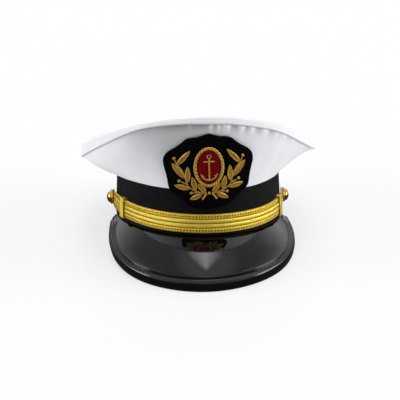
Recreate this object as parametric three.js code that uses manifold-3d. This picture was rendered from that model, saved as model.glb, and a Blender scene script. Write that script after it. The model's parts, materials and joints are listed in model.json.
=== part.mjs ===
// A merchant officer's peaked cap, at its real size, as it rests on a table: on the front of its
// peak and the back of its band. Millimetres, +Z up, the badge faces -Y and the wearer's left is +X.
//
// Every piece is first made in the cap's own frame, in which the band's lower edge lies level at
// z = 0 round the Z axis. Angles run round the cap from the front, positive towards +X.
import * as THREE from "three";
import { mergeVertices } from "three/addons/utils/BufferGeometryUtils.js";
import Module from "manifold-3d";

const wasm = await Module();
wasm.setup();

// Driving dimensions
const GAP = 0.3; // clearance between sewn or pinned pieces
const BAND = {
  halfWidth: 86,
  halfLength: 103,
  topHalfWidth: 83.9,
  topHalfLength: 99.5,
  topShift: -1.2, // the band leans a little to -X
  height: 44,
  wall: 3,
};
const CROWN = {
  halfWidth: 119.6,
  halfLength: 127,
  centreX: -1,
  centreY: 2,
  wall: 2,
  tuck: 12,
  lap: 5,
  seamAngle: 90,
};
const TOP = { wall: 1.7, edgeRound: 2.6, frontLean: 2.5, sideLean: 1, sag: 3 };
const PEAK = { wall: 2, flange: 8, endAngle: 88, bulge: 1.8, bindingWidth: 9, bindingWall: 1.1 };
const PEAK_SKEW = { turn: 2.5, rise: 0.04 }; // sewn on a little round to +X, and higher on that side
const STRAP = { width: 18.6, endWidth: 17, wall: 1, frontHeight: 12.3, endAngle: 88, overlapAngle: 68 };
const KEEPER = { width: 8.5, wall: 0.9 };
const BUTTON = { angle: 85, radius: 7.7, height: 6.2, shankRadius: 1.4 };
const BADGE = {
  footHeight: 24,
  topShare: 0.86,
  length: 80.6,
  centreUp: 48.3,
  centreX: 3.3,
  turn: 3.5,
  lean: 2.3,
  wall: 2,
};
const OVAL = { halfWidth: 14.3, halfHeight: 20.8, ropeWidth: 3.2, ropeHeight: 2.6, fieldHeight: 1.2 };
const LEAF = { width: 5.2, height: 1.5 };
const BERRY = { radius: 1.5, height: 1.5 };
const TIE = { radius: 1.5, height: 1.8 };
const STEM_RADIUS = 0.6;
const ANCHOR = { height: 27, thickness: 0.8, ringRadius: 2.3, barWidth: 1.5, stockHalf: 5.2, armRadius: 8.2 };

// What differs between the strap's two ends: the buttons' height, how far they stand off the band,
// and the keepers' places.
const STRAP_ENDS = {
  left: { side: -1, height: 17.7, seat: 4.1, keeperAngle: 62.5 },
  right: { side: 1, height: 20, seat: 3, keeperAngle: 65.5 },
};

// The crown's sections: how far the band's upper edge wanders from its height, where the side wall
// meets the top piece's turned-down strip, how tall that strip is, and how far the side wall
// bellies out (positive) or draws in (negative).
const CROWN_SECTIONS = [
  { angle: -180, hem: 0, seam: 60, strip: 12, belly: 0 },
  { angle: -135, hem: -1, seam: 59, strip: 12, belly: 0.5 },
  { angle: -90, hem: -3.2, seam: 58, strip: 14, belly: 2.8 },
  { angle: -68, hem: -0.8, seam: 71.5, strip: 13.4, belly: 2 },
  { angle: -51, hem: 0.4, seam: 87, strip: 10.2, belly: 1.2 },
  { angle: -31, hem: 0.3, seam: 106, strip: 4.7, belly: 1 },
  { angle: -15, hem: 0, seam: 113, strip: 4.5, belly: 1 },
  { angle: 0, hem: 0, seam: 114.3, strip: 6, belly: 1 },
  { angle: 15, hem: 0, seam: 112.7, strip: 6.3, belly: 0.6 },
  { angle: 35, hem: 0.6, seam: 103.5, strip: 8.2, belly: 0 },
  { angle: 55, hem: 2.2, seam: 86, strip: 12.2, belly: -1.5 },
  { angle: 72, hem: 2.6, seam: 74, strip: 13.9, belly: -3 },
  { angle: 90, hem: 2, seam: 69.4, strip: 13.2, belly: -3.3 },
  { angle: 135, hem: 1, seam: 62, strip: 12.5, belly: -1 },
];

// The peak's sections, the same on both sides: how far it reaches from the band, and how steeply it drops.
const PEAK_SECTIONS = [
  { angle: 0, reach: 57.3, slope: 49.8 },
  { angle: 18, reach: 54.7, slope: 50 },
  { angle: 36, reach: 48.1, slope: 50.5 },
  { angle: 52, reach: 38.3, slope: 51.2 },
  { angle: 66, reach: 26.2, slope: 52 },
  { angle: 76, reach: 15.6, slope: 52.6 },
  { angle: 83, reach: 8, slope: 53 },
  { angle: 88, reach: 1.2, slope: 53.2 },
];

// The lobed outline of the badge's patch, the same on both sides: radius from the oval's centre.
const PATCH_OUTLINE = [
  { angle: 0, radius: 33.2 },
  { angle: 10, radius: 32.2 },
  { angle: 20, radius: 32.1 },
  { angle: 28, radius: 33.8 },
  { angle: 36, radius: 35.6 },
  { angle: 46, radius: 35.9 },
  { angle: 55, radius: 37.7 },
  { angle: 64, radius: 41.5 },
  { angle: 70, radius: 43.5 },
  { angle: 76, radius: 43.9 },
  { angle: 82, radius: 43.1 },
  { angle: 90, radius: 41.5 },
  { angle: 98, radius: 40.7 },
  { angle: 106, radius: 40.9 },
  { angle: 114, radius: 42.3 },
  { angle: 121, radius: 43.4 },
  { angle: 130, radius: 42.8 },
  { angle: 142, radius: 42.7 },
  { angle: 152, radius: 44.5 },
  { angle: 162, radius: 45.4 },
  { angle: 172, radius: 44.8 },
  { angle: 180, radius: 44.3 },
];

// The wreath's leaves on one side, from base to tip, in the badge's plane from the oval's centre.
const LEAVES = [
  { name: "crest", baseX: 30.1, baseY: 2.9, tipX: 17.1, tipY: 17.1 },
  { name: "outer_high", baseX: 22.5, baseY: -11, tipX: 34.2, tipY: 6 },
  { name: "inner_high", baseX: 19.6, baseY: -15.6, tipX: 19.8, tipY: 0.9 },
  { name: "outer_low", baseX: 18, baseY: -22.3, tipX: 32.1, tipY: -17.7 },
  { name: "inner_low", baseX: 12.5, baseY: -24, tipX: 15.5, tipY: -10 },
  { name: "foot_inner", baseX: 3.2, baseY: -26.6, tipX: 10.6, tipY: -17.2 },
  { name: "foot_outer", baseX: 6.4, baseY: -27.9, tipX: 17.9, tipY: -33.4 },
];
const BERRIES = [
  { name: "high", x: 32, y: 10.8, stalkX: 29.4, stalkY: 3.8 },
  { name: "middle", x: 27.7, y: -13.2, stalkX: 20.2, stalkY: -17.2 },
  { name: "low", x: 16.6, y: -26.4, stalkX: 9.5, stalkY: -25.7 },
];
const STEM_ROUTE = [
  { x: 2.5, y: -27.2 },
  { x: 6.4, y: -26.8 },
  { x: 11.4, y: -25 },
  { x: 16.6, y: -21.8 },
  { x: 20.2, y: -17.2 },
  { x: 22.2, y: -9.8 },
  { x: 24.9, y: -2.4 },
  { x: 29.4, y: 3.8 },
];
const STEM_END = { x: 6.9, y: -33.8, radius: 1 }; // the other spray's cut end, below the crossing

const COLOURS = {
  white: 0xe9ebee,
  black: 0x0b0b0c,
  patent: 0x08090a,
  gold: 0xd9b53c,
  bullion: 0xb98c2a,
  red: 0x6e0a12,
};
const cloth = (colour) => new THREE.MeshStandardMaterial({ color: colour, roughness: 0.9, metalness: 0 });
const MATERIALS = {
  whiteCloth: cloth(COLOURS.white),
  blackCloth: cloth(COLOURS.black),
  redCloth: cloth(COLOURS.red),
  patent: new THREE.MeshStandardMaterial({ color: COLOURS.patent, roughness: 0.08, metalness: 0 }),
  goldLace: new THREE.MeshStandardMaterial({ color: COLOURS.gold, roughness: 0.4, metalness: 0.7 }),
  bullion: new THREE.MeshStandardMaterial({ color: COLOURS.bullion, roughness: 0.45, metalness: 0.8 }),
  goldMetal: new THREE.MeshStandardMaterial({ color: COLOURS.gold, roughness: 0.2, metalness: 1 }),
};

const radians = THREE.MathUtils.degToRad;
const lerp = THREE.MathUtils.lerp;
const range = (count, from = 0, to = 1) =>
  Array.from({ length: count + 1 }, (_, i) => lerp(from, to, i / count));

// A table's column at any angle, on a smooth curve through its rows (Catmull-Rom with uneven steps).
// A table that goes all round repeats itself, and one of half the cap is the same on both sides.
function fromTable(rows, column, angle) {
  const round = rows[0].angle < 0;
  const turn = round ? 360 : 0;
  const wrapped = round ? THREE.MathUtils.euclideanModulo(angle + 180, 360) - 180 : Math.abs(angle);
  const row = (i) => {
    const lap = Math.floor(i / rows.length);
    const own = rows[i - lap * rows.length];
    if (round) return { at: own.angle + lap * turn, v: own[column] };
    if (i < 0) return { at: -rows[-i].angle, v: rows[-i][column] };
    const last = rows[Math.min(i, rows.length - 1)];
    return { at: last.angle + (i >= rows.length ? 10 : 0), v: last[column] };
  };
  let i = 0;
  while (i < rows.length - 1 && row(i + 1).at <= wrapped) i += 1;
  const [a, b, c, d] = [row(i - 1), row(i), row(i + 1), row(i + 2)];
  const span = c.at - b.at;
  const k = THREE.MathUtils.clamp((wrapped - b.at) / span, 0, 1);
  const slopeB = ((c.v - a.v) / (c.at - a.at)) * span;
  const slopeC = ((d.v - b.v) / (d.at - b.at)) * span;
  const k2 = k * k;
  const k3 = k2 * k;
  return (
    (2 * k3 - 3 * k2 + 1) * b.v + (k3 - 2 * k2 + k) * slopeB + (3 * k2 - 2 * k3) * c.v + (k3 - k2) * slopeC
  );
}

// A closed body through sections, each one loop of points. Its first half runs along one face of a
// wall and its second half back along the other, so an open end is closed straight across.
function loft(sections, ring = false) {
  const perLoop = sections[0].length;
  const positions = sections.flatMap((loop) => loop.flatMap((p) => [p.x, p.y, p.z]));
  const index = [];
  const quad = (a, b, c, d) => index.push(a, b, c, a, c, d);
  const steps = ring ? sections.length : sections.length - 1;
  for (let i = 0; i < steps; i += 1) {
    const next = ((i + 1) % sections.length) * perLoop;
    for (let j = 0; j < perLoop; j += 1) {
      const k = (j + 1) % perLoop;
      quad(i * perLoop + j, i * perLoop + k, next + k, next + j);
    }
  }
  if (!ring) {
    const last = (sections.length - 1) * perLoop;
    for (let j = 0; j < perLoop / 2 - 1; j += 1) {
      const across = perLoop - 1 - j;
      quad(j, across, across - 1, j + 1);
      quad(last + j, last + j + 1, last + across - 1, last + across);
    }
  }
  return closedGeometry(positions, index);
}

// Merges coincident points, drops the faces that have no area and turns the body right side out.
function closedGeometry(positions, index) {
  const raw = new THREE.BufferGeometry();
  raw.setAttribute("position", new THREE.Float32BufferAttribute(positions, 3));
  raw.setIndex(index);
  const merged = mergeVertices(raw, 1e-3);
  const from = merged.index.array;
  const faces = [];
  for (let i = 0; i < from.length; i += 3) {
    const [a, b, c] = [from[i], from[i + 1], from[i + 2]];
    if (a !== b && b !== c && a !== c) faces.push([a, b, c]);
  }
  const at = (i) => new THREE.Vector3().fromBufferAttribute(merged.attributes.position, i);
  const volume = faces.reduce((sum, [a, b, c]) => sum + at(a).dot(at(b).cross(at(c))), 0);
  merged.setIndex((volume < 0 ? faces.map(([a, b, c]) => [a, c, b]) : faces).flat());
  merged.computeVertexNormals();
  return merged;
}

// A geometry as a manifold-3d solid, and back, for cutting and joining.
function toSolid(geometry) {
  const bare = geometry.clone();
  bare.deleteAttribute("normal");
  bare.deleteAttribute("uv");
  const merged = mergeVertices(bare, 1e-3);
  return new wasm.Manifold(
    new wasm.Mesh({
      numProp: 3,
      vertProperties: merged.attributes.position.array,
      triVerts: new Uint32Array(merged.index.array),
    }),
  );
}
function toGeometry(solid) {
  const mesh = solid.getMesh();
  const made = new THREE.BufferGeometry();
  made.setAttribute("position", new THREE.BufferAttribute(mesh.vertProperties, 3));
  made.setIndex(new THREE.BufferAttribute(mesh.triVerts, 1));
  made.computeVertexNormals();
  return made;
}

const cap = new THREE.Group();
function addPiece(name, geometry, material) {
  const mesh = new THREE.Mesh(geometry, material);
  mesh.name = name;
  cap.add(mesh);
  return mesh;
}

// The band's outside: a point at an angle round it, a height, and a distance out from its cloth.
function bandPoint(angle, height, out = 0) {
  const t = radians(angle);
  const k = height / BAND.height;
  const halfWidth = lerp(BAND.halfWidth, BAND.topHalfWidth, k);
  const halfLength = lerp(BAND.halfLength, BAND.topHalfLength, k);
  const normal = bandNormal(angle);
  return new THREE.Vector3(
    k * BAND.topShift + halfWidth * Math.sin(t) + normal.x * out,
    -halfLength * Math.cos(t) + normal.y * out,
    height,
  );
}
function bandNormal(angle) {
  const t = radians(angle);
  return new THREE.Vector3(Math.sin(t) / BAND.halfWidth, -Math.cos(t) / BAND.halfLength, 0).normalize();
}
// Degrees round the band for a millimetre along it.
const degreesPerMm = (angle) => 1 / bandPoint(angle + 0.5, 0).distanceTo(bandPoint(angle - 0.5, 0));

const bandTop = (angle) => BAND.height + fromTable(CROWN_SECTIONS, "hem", angle);

function bandGeometry() {
  const sections = range(72, -180, 180).slice(0, -1).map((angle) => [
    bandPoint(angle, 0),
    bandPoint(angle, bandTop(angle) / 2),
    bandPoint(angle, bandTop(angle)),
    bandPoint(angle, bandTop(angle), -BAND.wall),
    bandPoint(angle, bandTop(angle) / 2, -BAND.wall),
    bandPoint(angle, 0, -BAND.wall),
  ]);
  return loft(sections, true);
}

// The seam line on which the side wall and the top piece's strip meet.
function seamPoint(angle) {
  const t = radians(angle);
  return new THREE.Vector3(
    CROWN.centreX + CROWN.halfWidth * Math.sin(t),
    CROWN.centreY - CROWN.halfLength * Math.cos(t),
    fromTable(CROWN_SECTIONS, "seam", angle),
  );
}
function seamNormal(angle) {
  const t = radians(angle);
  return new THREE.Vector3(Math.sin(t) / CROWN.halfWidth, -Math.cos(t) / CROWN.halfLength, 0).normalize();
}

// How far the strip leans in towards the rim, and the height over which it does.
const stripSlant = (angle) => ({
  lean: lerp(TOP.frontLean, TOP.sideLean, Math.abs(Math.sin(radians(angle)))),
  rise: fromTable(CROWN_SECTIONS, "strip", angle) - TOP.edgeRound,
});

// A point of the side wall's outside, at a share of its way from the band to the seam.
function wallPoint(angle, share) {
  const point = bandPoint(angle, bandTop(angle)).lerp(seamPoint(angle), share);
  point.z += GAP * (1 - share) - 4 * fromTable(CROWN_SECTIONS, "belly", angle) * share * (1 - share);
  return point;
}

// One section of the side wall: up inside the band, out over its edge, up to the seam and on behind
// the strip.
function wallSection(angle) {
  const inward = seamPoint(angle).sub(bandPoint(angle, bandTop(angle))).setZ(0).normalize().negate();
  const tucked = BAND.wall + GAP;
  const outer = [
    bandPoint(angle, BAND.height - CROWN.tuck, -tucked),
    bandPoint(angle, bandTop(angle) + GAP, -tucked),
    ...range(6).map((share) => wallPoint(angle, share)),
  ];
  const strip = stripSlant(angle);
  const lapped = seamPoint(angle);
  const share = Math.min(0.8, CROWN.lap / strip.rise);
  lapped.addScaledVector(seamNormal(angle), -strip.lean * share);
  lapped.z += strip.rise * share;
  outer.push(lapped);
  const last = outer.length - 1;
  const inner = outer.map((point, i) => {
    const along = outer[Math.min(i + 1, last)].clone().sub(outer[Math.max(i - 1, 0)]);
    const run = -along.dot(inward); // how far this stretch goes outwards, against how far it rises
    const length = Math.hypot(run, along.z);
    const offset = inward.clone().multiplyScalar((along.z / length) * CROWN.wall);
    offset.z = (run / length) * CROWN.wall;
    return point.clone().add(offset);
  });
  return [...outer, ...inner.reverse()];
}
const CROWN_STEPS = 32; // sections in half a turn, the same for the side wall and the top over it
function sideWallGeometry(from, to) {
  return loft(range(CROWN_STEPS, from, to).map(wallSection));
}

// The top piece is cloth drawn tight over a rim that rises to the front, so its height over the
// rim's plane is the harmonic surface through the rim, as a drumhead's is, less a little sag.
const rimHeight = (angle) =>
  fromTable(CROWN_SECTIONS, "seam", angle) + fromTable(CROWN_SECTIONS, "strip", angle);
const RIM_SAMPLES = range(72, -180, 180).slice(0, -1);
const HARMONICS = range(7, 0, 7).map((n) => {
  const mean = (f) => RIM_SAMPLES.reduce((sum, a) => sum + rimHeight(a) * f(radians(n * a)), 0) / 72;
  return { n, cos: mean(Math.cos) * (n ? 2 : 1), sin: mean(Math.sin) * (n ? 2 : 1) };
});
function topHeight(angle, share) {
  const harmonic = (h) => h.cos * Math.cos(radians(h.n * angle)) + h.sin * Math.sin(radians(h.n * angle));
  const wave = (k) => HARMONICS.reduce((sum, h) => sum + k ** h.n * harmonic(h), 0);
  const missed = rimHeight(angle) - wave(1);
  return wave(share) + missed * share ** 8 - TOP.sag * (1 - share * share);
}

// One section of the top piece, from its centre out, over the rim and down the strip, and back inside.
function topSection(angle) {
  const normal = seamNormal(angle);
  const seam = seamPoint(angle).addScaledVector(normal, GAP + TOP.wall);
  const rim = seam.clone().addScaledVector(normal, -stripSlant(angle).lean).setZ(rimHeight(angle));
  const centre = new THREE.Vector3(CROWN.centreX, CROWN.centreY, 0);
  const flat = rim.clone().addScaledVector(normal, -TOP.edgeRound);
  const round = TOP.edgeRound * (1 - Math.SQRT1_2);
  const outer = [];
  const inner = [];
  const add = (point, out, up) => {
    outer.push(point);
    const under = point.clone().addScaledVector(normal, -out * TOP.wall);
    inner.push(under.setZ(point.z - up * TOP.wall));
  };
  [0, 0.3, 0.55, 0.78, 0.92, 1].forEach((share) => {
    const point = centre.clone().lerp(flat, share);
    add(point.setZ(topHeight(angle, share)), 0, 1);
  });
  add(rim.clone().addScaledVector(normal, -round).setZ(rim.z - round), Math.SQRT1_2, Math.SQRT1_2);
  add(rim.clone().setZ(rim.z - TOP.edgeRound), 1, 0);
  add(seam, 1, 0);
  inner[0].setX(centre.x).setY(centre.y);
  return [...outer, ...inner.reverse()];
}
function topGeometry() {
  return loft(range(2 * CROWN_STEPS, -180, 180).slice(0, -1).map(topSection), true);
}

// The peak is drawn between its root, along the band's lower edge, and its outer edge.
const peakAngles = range(44, -PEAK.endAngle, PEAK.endAngle);
const peakRoot = new THREE.CatmullRomCurve3(
  peakAngles.map((angle) => bandPoint(angle + PEAK_SKEW.turn, 0).setZ(-GAP)),
);
const peakEdge = new THREE.CatmullRomCurve3(
  peakAngles.map((angle) => {
    const reach = fromTable(PEAK_SECTIONS, "reach", angle);
    const slope = radians(fromTable(PEAK_SECTIONS, "slope", angle));
    const point = bandPoint(angle + PEAK_SKEW.turn, 0, reach * Math.cos(slope));
    const rise = (PEAK_SKEW.rise * point.x * reach) / PEAK_SECTIONS[0].reach;
    return point.setZ(rise - GAP - reach * Math.sin(slope));
  }),
);
// The peak's upper face at a place along it (0 to 1) and a share of the way from root to edge,
// with its normal. A share over 1 runs on past the edge.
function peakPoint(along, share) {
  const root = peakRoot.getPointAt(along);
  const edge = peakEdge.getPointAt(along);
  const rule = edge.clone().sub(root);
  const tangent = peakEdge.getTangentAt(along);
  const normal = tangent.cross(rule).normalize();
  if (normal.z < 0) normal.negate();
  const crowned = share < 1 ? 4 * share * (1 - share) * PEAK.bulge * Math.min(1, rule.length() / 50) : 0;
  const point = root.addScaledVector(rule, share).addScaledVector(normal, crowned);
  return { point, normal, length: rule.length() };
}
const PEAK_PLACES = range(48, 0.004, 0.996);

function peakGeometry() {
  const sections = PEAK_PLACES.map((along) => {
    const root = peakPoint(along, 0);
    const toAngle = (p) => THREE.MathUtils.radToDeg(Math.atan2(p.x / BAND.halfWidth, -p.y / BAND.halfLength));
    const angle = toAngle(root.point);
    const inside = BAND.wall + GAP;
    const upper = [bandPoint(angle, PEAK.flange, -inside), bandPoint(angle, 0, -inside).setZ(-GAP)];
    const lower = [
      bandPoint(angle, PEAK.flange, -inside - PEAK.wall),
      bandPoint(angle, 0, -inside - PEAK.wall).setZ(-GAP - PEAK.wall),
    ];
    range(6).forEach((share) => {
      const { point, normal } = peakPoint(along, share);
      const down = share === 0 ? new THREE.Vector3(0, 0, 1) : normal;
      upper.push(point);
      lower.push(point.clone().addScaledVector(down, -PEAK.wall));
    });
    return [...upper, ...lower.reverse()];
  });
  return loft(sections);
}

// The binding is folded round the peak's edge, with one leg on each face.
function bindingGeometry() {
  const sections = PEAK_PLACES.slice(2, -2).map((along) => {
    const { length } = peakPoint(along, 1);
    const tangent = peakEdge.getTangentAt(along);
    const rule = peakEdge.getPointAt(along).sub(peakRoot.getPointAt(along)).normalize();
    const squareness = Math.sin(tangent.angleTo(rule));
    const width = Math.min(PEAK.bindingWidth / squareness, length * 0.8);
    const at = (inwards, up) => {
      const { point, normal } = peakPoint(along, 1 - inwards / length);
      return point.addScaledVector(normal, up);
    };
    const loop = (clear, nose) => [
      at(width, clear),
      at(width / 2, clear),
      at(0, clear),
      at(-nose, clear / 2 - PEAK.wall / 4),
      at(-nose, -PEAK.wall * 0.75 - clear / 2),
      at(0, -PEAK.wall - clear),
      at(width / 2, -PEAK.wall - clear),
      at(width, -PEAK.wall - clear),
    ];
    const outer = loop(GAP + PEAK.bindingWall, GAP + PEAK.bindingWall);
    return [...outer, ...loop(GAP, GAP).reverse()];
  });
  return loft(sections);
}

// The chin strap's middle line climbs from the front to the side buttons, and the strap narrows.
const strapEnd = (angle) => (angle < 0 ? STRAP_ENDS.left : STRAP_ENDS.right);
const strapClimb = (angle) => (Math.abs(angle) / BUTTON.angle) ** 2;
const strapHeight = (angle) => lerp(STRAP.frontHeight, strapEnd(angle).height, strapClimb(angle));
const strapWidth = (angle) => lerp(STRAP.width, STRAP.endWidth, strapClimb(angle));
// Each half lies under its own button, and clear of the keepers' walls elsewhere.
const STRAP_OUT = { lower: KEEPER.wall + 2 * GAP, upper: KEEPER.wall + STRAP.wall + 3 * GAP };
function strapGeometry(end, level) {
  const atButton = end.seat - GAP - STRAP.wall;
  const sections = range(39, -STRAP.overlapAngle, STRAP.endAngle).map((toButton) => {
    const angle = end.side * toButton;
    const landing = THREE.MathUtils.smoothstep(toButton, STRAP.overlapAngle + 0.5, BUTTON.angle - 5);
    const out = lerp(STRAP_OUT[level], atButton, landing);
    const heights = range(2, -0.5, 0.5).map((k) => strapHeight(angle) + k * strapWidth(angle));
    return [
      ...heights.map((h) => bandPoint(angle, h, out + STRAP.wall)),
      ...heights.reverse().map((h) => bandPoint(angle, h, out)),
    ];
  });
  return loft(sections);
}

// A keeper is a flat loop round both halves of the strap.
function keeperGeometry(end) {
  const angle = end.side * end.keeperAngle;
  const tall = strapWidth(angle) / 2 + GAP;
  const deep = [STRAP_OUT.lower - GAP, STRAP_OUT.upper + STRAP.wall + GAP];
  const corners = [
    { h: -tall, out: deep[0], wallUp: -1, wallOut: -1 },
    { h: 0, out: deep[0], wallUp: 0, wallOut: -1 },
    { h: tall, out: deep[0], wallUp: 1, wallOut: -1 },
    { h: tall, out: (deep[0] + deep[1]) / 2, wallUp: 1, wallOut: 0 },
    { h: tall, out: deep[1], wallUp: 1, wallOut: 1 },
    { h: 0, out: deep[1], wallUp: 0, wallOut: 1 },
    { h: -tall, out: deep[1], wallUp: -1, wallOut: 1 },
    { h: -tall, out: (deep[0] + deep[1]) / 2, wallUp: -1, wallOut: 0 },
  ];
  const turn = (KEEPER.width / 2) * degreesPerMm(angle);
  const point = (c, wall, a) =>
    bandPoint(a, strapHeight(a) + c.h + c.wallUp * wall, c.out + c.wallOut * wall);
  const across = range(2, angle - turn, angle + turn);
  const sections = corners.map((c) => [
    ...across.map((a) => point(c, KEEPER.wall, a)),
    ...[...across].reverse().map((a) => point(c, 0, a)),
  ]);
  return loft(sections, true);
}

// A side button is a shallow dome with a rolled rim, and its shank goes through strap and band.
function buttonGeometry(end) {
  const rim = BUTTON.radius;
  const back = 1.1;
  const shank = -BAND.wall - end.seat;
  const profile = [
    new THREE.Vector2(0, shank),
    new THREE.Vector2(BUTTON.shankRadius, shank),
    new THREE.Vector2(BUTTON.shankRadius, 0),
    new THREE.Vector2(rim - 0.8, 0),
    new THREE.Vector2(rim, 0.5),
    new THREE.Vector2(rim, back),
    ...range(5, 8, 90).map((a) => {
      const out = back + (BUTTON.height - back) * Math.sin(radians(a));
      return new THREE.Vector2((rim - 0.4) * Math.cos(radians(a)), out);
    }),
  ];
  profile.at(-1).x = 0;
  return atButton(new THREE.LatheGeometry(profile, 24), end);
}
// A geometry modelled on the Y axis is turned to stand out of the band at a button's place.
function atButton(geometry, end) {
  const angle = end.side * BUTTON.angle;
  const taper = (BAND.halfWidth - BAND.topHalfWidth - end.side * BAND.topShift) / BAND.height;
  const axis = bandNormal(angle).setZ(taper).normalize();
  const place = new THREE.Matrix4().makeRotationFromQuaternion(
    new THREE.Quaternion().setFromUnitVectors(new THREE.Vector3(0, 1, 0), axis),
  );
  place.setPosition(bandPoint(angle, strapHeight(angle), end.seat));
  return geometry.applyMatrix4(place);
}
function withShankHoles(geometry, ends) {
  const radius = BUTTON.shankRadius + GAP;
  const drill = (end) => toSolid(atButton(new THREE.CylinderGeometry(radius, radius, 24, 16), end));
  return toGeometry(ends.reduce((solid, end) => solid.subtract(drill(end)), toSolid(geometry)));
}

// The badge stands on the band and leans on the crown: a point of it from the oval's centre,
// across, up, and out from the back of the patch. It is sewn on a little askew: its cross lines
// turn anticlockwise, and its upright lines by less.
function badgePoint(across, up, out) {
  const [turn, lean] = [radians(BADGE.turn), radians(BADGE.lean)];
  const turned = new THREE.Vector2(
    across * Math.cos(turn) - up * Math.sin(lean),
    across * Math.sin(turn) + up * Math.cos(lean),
  );
  const share = (BADGE.centreUp + turned.y) / BADGE.length;
  const topHalfWidth = lerp(BAND.topHalfWidth, CROWN.halfWidth, BADGE.topShare);
  const halfWidth = lerp(BAND.halfWidth - 1.8, topHalfWidth, share);
  const at = (x, k) => {
    const angle = THREE.MathUtils.radToDeg(Math.asin(x / halfWidth));
    return bandPoint(angle, BADGE.footHeight).lerp(wallPoint(angle, BADGE.topShare), k);
  };
  const x = turned.x + BADGE.centreX;
  const point = at(x, share);
  const acrossStep = at(x + 1, share).sub(at(x - 1, share));
  const upStep = at(x, share + 0.01).sub(at(x, share - 0.01));
  const normal = acrossStep.cross(upStep).normalize();
  return point.addScaledVector(normal, 2 * GAP + out);
}

// A padded shape on the badge, from an outline given as a point for each turn angle.
function padGeometry(outline, steps, floor, height, rings = [0, 0.45, 0.8, 1]) {
  const sections = range(steps, 0, 360).slice(0, -1).map((turn) => {
    const edge = outline(turn);
    const centre = outline.centre;
    const point = (share, out) =>
      badgePoint(lerp(centre.x, edge.x, share), lerp(centre.y, edge.y, share), out);
    const domed = (share) => floor + height * (0.35 + 0.65 * Math.sqrt(Math.max(0, 1 - share * share)));
    return [
      ...rings.map((share) => point(share, domed(share))),
      ...[...rings].reverse().map((share) => point(share, floor)),
    ];
  });
  return loft(sections, true);
}
function roundOutline(centre, radius) {
  const outline = (turn) => ({
    x: centre.x + radius * Math.sin(radians(turn)),
    y: centre.y + radius * Math.cos(radians(turn)),
  });
  outline.centre = centre;
  return outline;
}

function patchGeometry() {
  const rings = [0, 0.35, 0.7, 1];
  const sections = range(56, -180, 180).slice(0, -1).map((turn) => {
    const radius = fromTable(PATCH_OUTLINE, "radius", turn);
    const point = (share, out) =>
      badgePoint(share * radius * Math.sin(radians(turn)), share * radius * Math.cos(radians(turn)), out);
    return [...rings.map((s) => point(s, BADGE.wall)), ...[...rings].reverse().map((s) => point(s, 0))];
  });
  return loft(sections, true);
}

const ON_PATCH = BADGE.wall + GAP;
function ropeGeometry() {
  const sections = range(40, 0, 360).slice(0, -1).map((turn) => {
    const t = radians(turn);
    return range(8, 0, 360).slice(0, -1).map((round) => {
      const inwards = OVAL.ropeWidth * (0.5 - 0.5 * Math.cos(radians(round)));
      const out = ON_PATCH + OVAL.ropeHeight * (0.5 - 0.5 * Math.sin(radians(round)));
      const across = (OVAL.halfWidth - inwards) * Math.sin(t);
      return badgePoint(across, (OVAL.halfHeight - inwards) * Math.cos(t), out);
    });
  });
  return loft(sections, true);
}
function fieldGeometry() {
  const inset = OVAL.ropeWidth + GAP;
  const outline = (turn) => ({
    x: (OVAL.halfWidth - inset) * Math.sin(radians(turn)),
    y: (OVAL.halfHeight - inset) * Math.cos(radians(turn)),
  });
  outline.centre = { x: 0, y: 0 };
  const sections = range(32, 0, 360).slice(0, -1).map((turn) => {
    const edge = outline(turn);
    const point = (share, out) => badgePoint(edge.x * share, edge.y * share, out);
    const rings = [0, 0.5, 1];
    return [
      ...rings.map((share) => point(share, ON_PATCH + OVAL.fieldHeight)),
      ...[...rings].reverse().map((share) => point(share, ON_PATCH)),
    ];
  });
  return loft(sections, true);
}

// A plain upright anchor: ring, stock, shank, and arms that end in pointed flukes.
function anchorGeometry() {
  const { height, thickness, ringRadius, barWidth, stockHalf, armRadius } = ANCHOR;
  const top = height / 2;
  const half = barWidth / 2;
  const flat = (shape, curveSegments = 8) =>
    toSolid(new THREE.ExtrudeGeometry(shape, { depth: thickness, bevelEnabled: false, curveSegments }));
  const bar = (x0, y0, x1, y1) =>
    new THREE.Shape([[x0, y0], [x1, y0], [x1, y1], [x0, y1]].map(([x, y]) => new THREE.Vector2(x, y)));
  const ring = new THREE.Shape().absarc(0, top - ringRadius, ringRadius, 0, 2 * Math.PI);
  ring.holes.push(new THREE.Path().absarc(0, top - ringRadius, ringRadius - 1.1, 0, 2 * Math.PI, true));
  const arms = new THREE.Shape();
  const [low, reach] = [armRadius - top, radians(62)];
  const [from, to] = [-Math.PI / 2 - reach, -Math.PI / 2 + reach];
  arms.absarc(0, low, armRadius, from, to);
  arms.absarc(0, low + barWidth * 0.6, armRadius - barWidth * 0.5, to, from, true);
  const fluke = (side) => {
    const tip = new THREE.Vector2(side * armRadius * Math.sin(reach), low - armRadius * Math.cos(reach));
    return new THREE.Shape([
      new THREE.Vector2(tip.x + side * 0.9, tip.y + 2.6),
      new THREE.Vector2(tip.x - side * 2.7, tip.y + 0.1),
      new THREE.Vector2(tip.x + side * 0.5, tip.y - 1.6),
    ]);
  };
  const shapes = [
    bar(-half, -top, half, top - 2 * ringRadius + 0.5),
    bar(-stockHalf, top - 8, stockHalf, top - 8 + barWidth),
    arms,
    fluke(-1),
    fluke(1),
  ];
  const solid = shapes.reduce((sum, shape) => sum.add(flat(shape)), flat(ring, 12));
  const geometry = toGeometry(solid);
  const position = geometry.attributes.position;
  const floor = ON_PATCH + OVAL.fieldHeight + GAP;
  for (let i = 0; i < position.count; i += 1) {
    const p = badgePoint(position.getX(i), position.getY(i), floor + position.getZ(i));
    position.setXYZ(i, p.x, p.y, p.z);
  }
  geometry.computeVertexNormals();
  return geometry;
}

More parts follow.
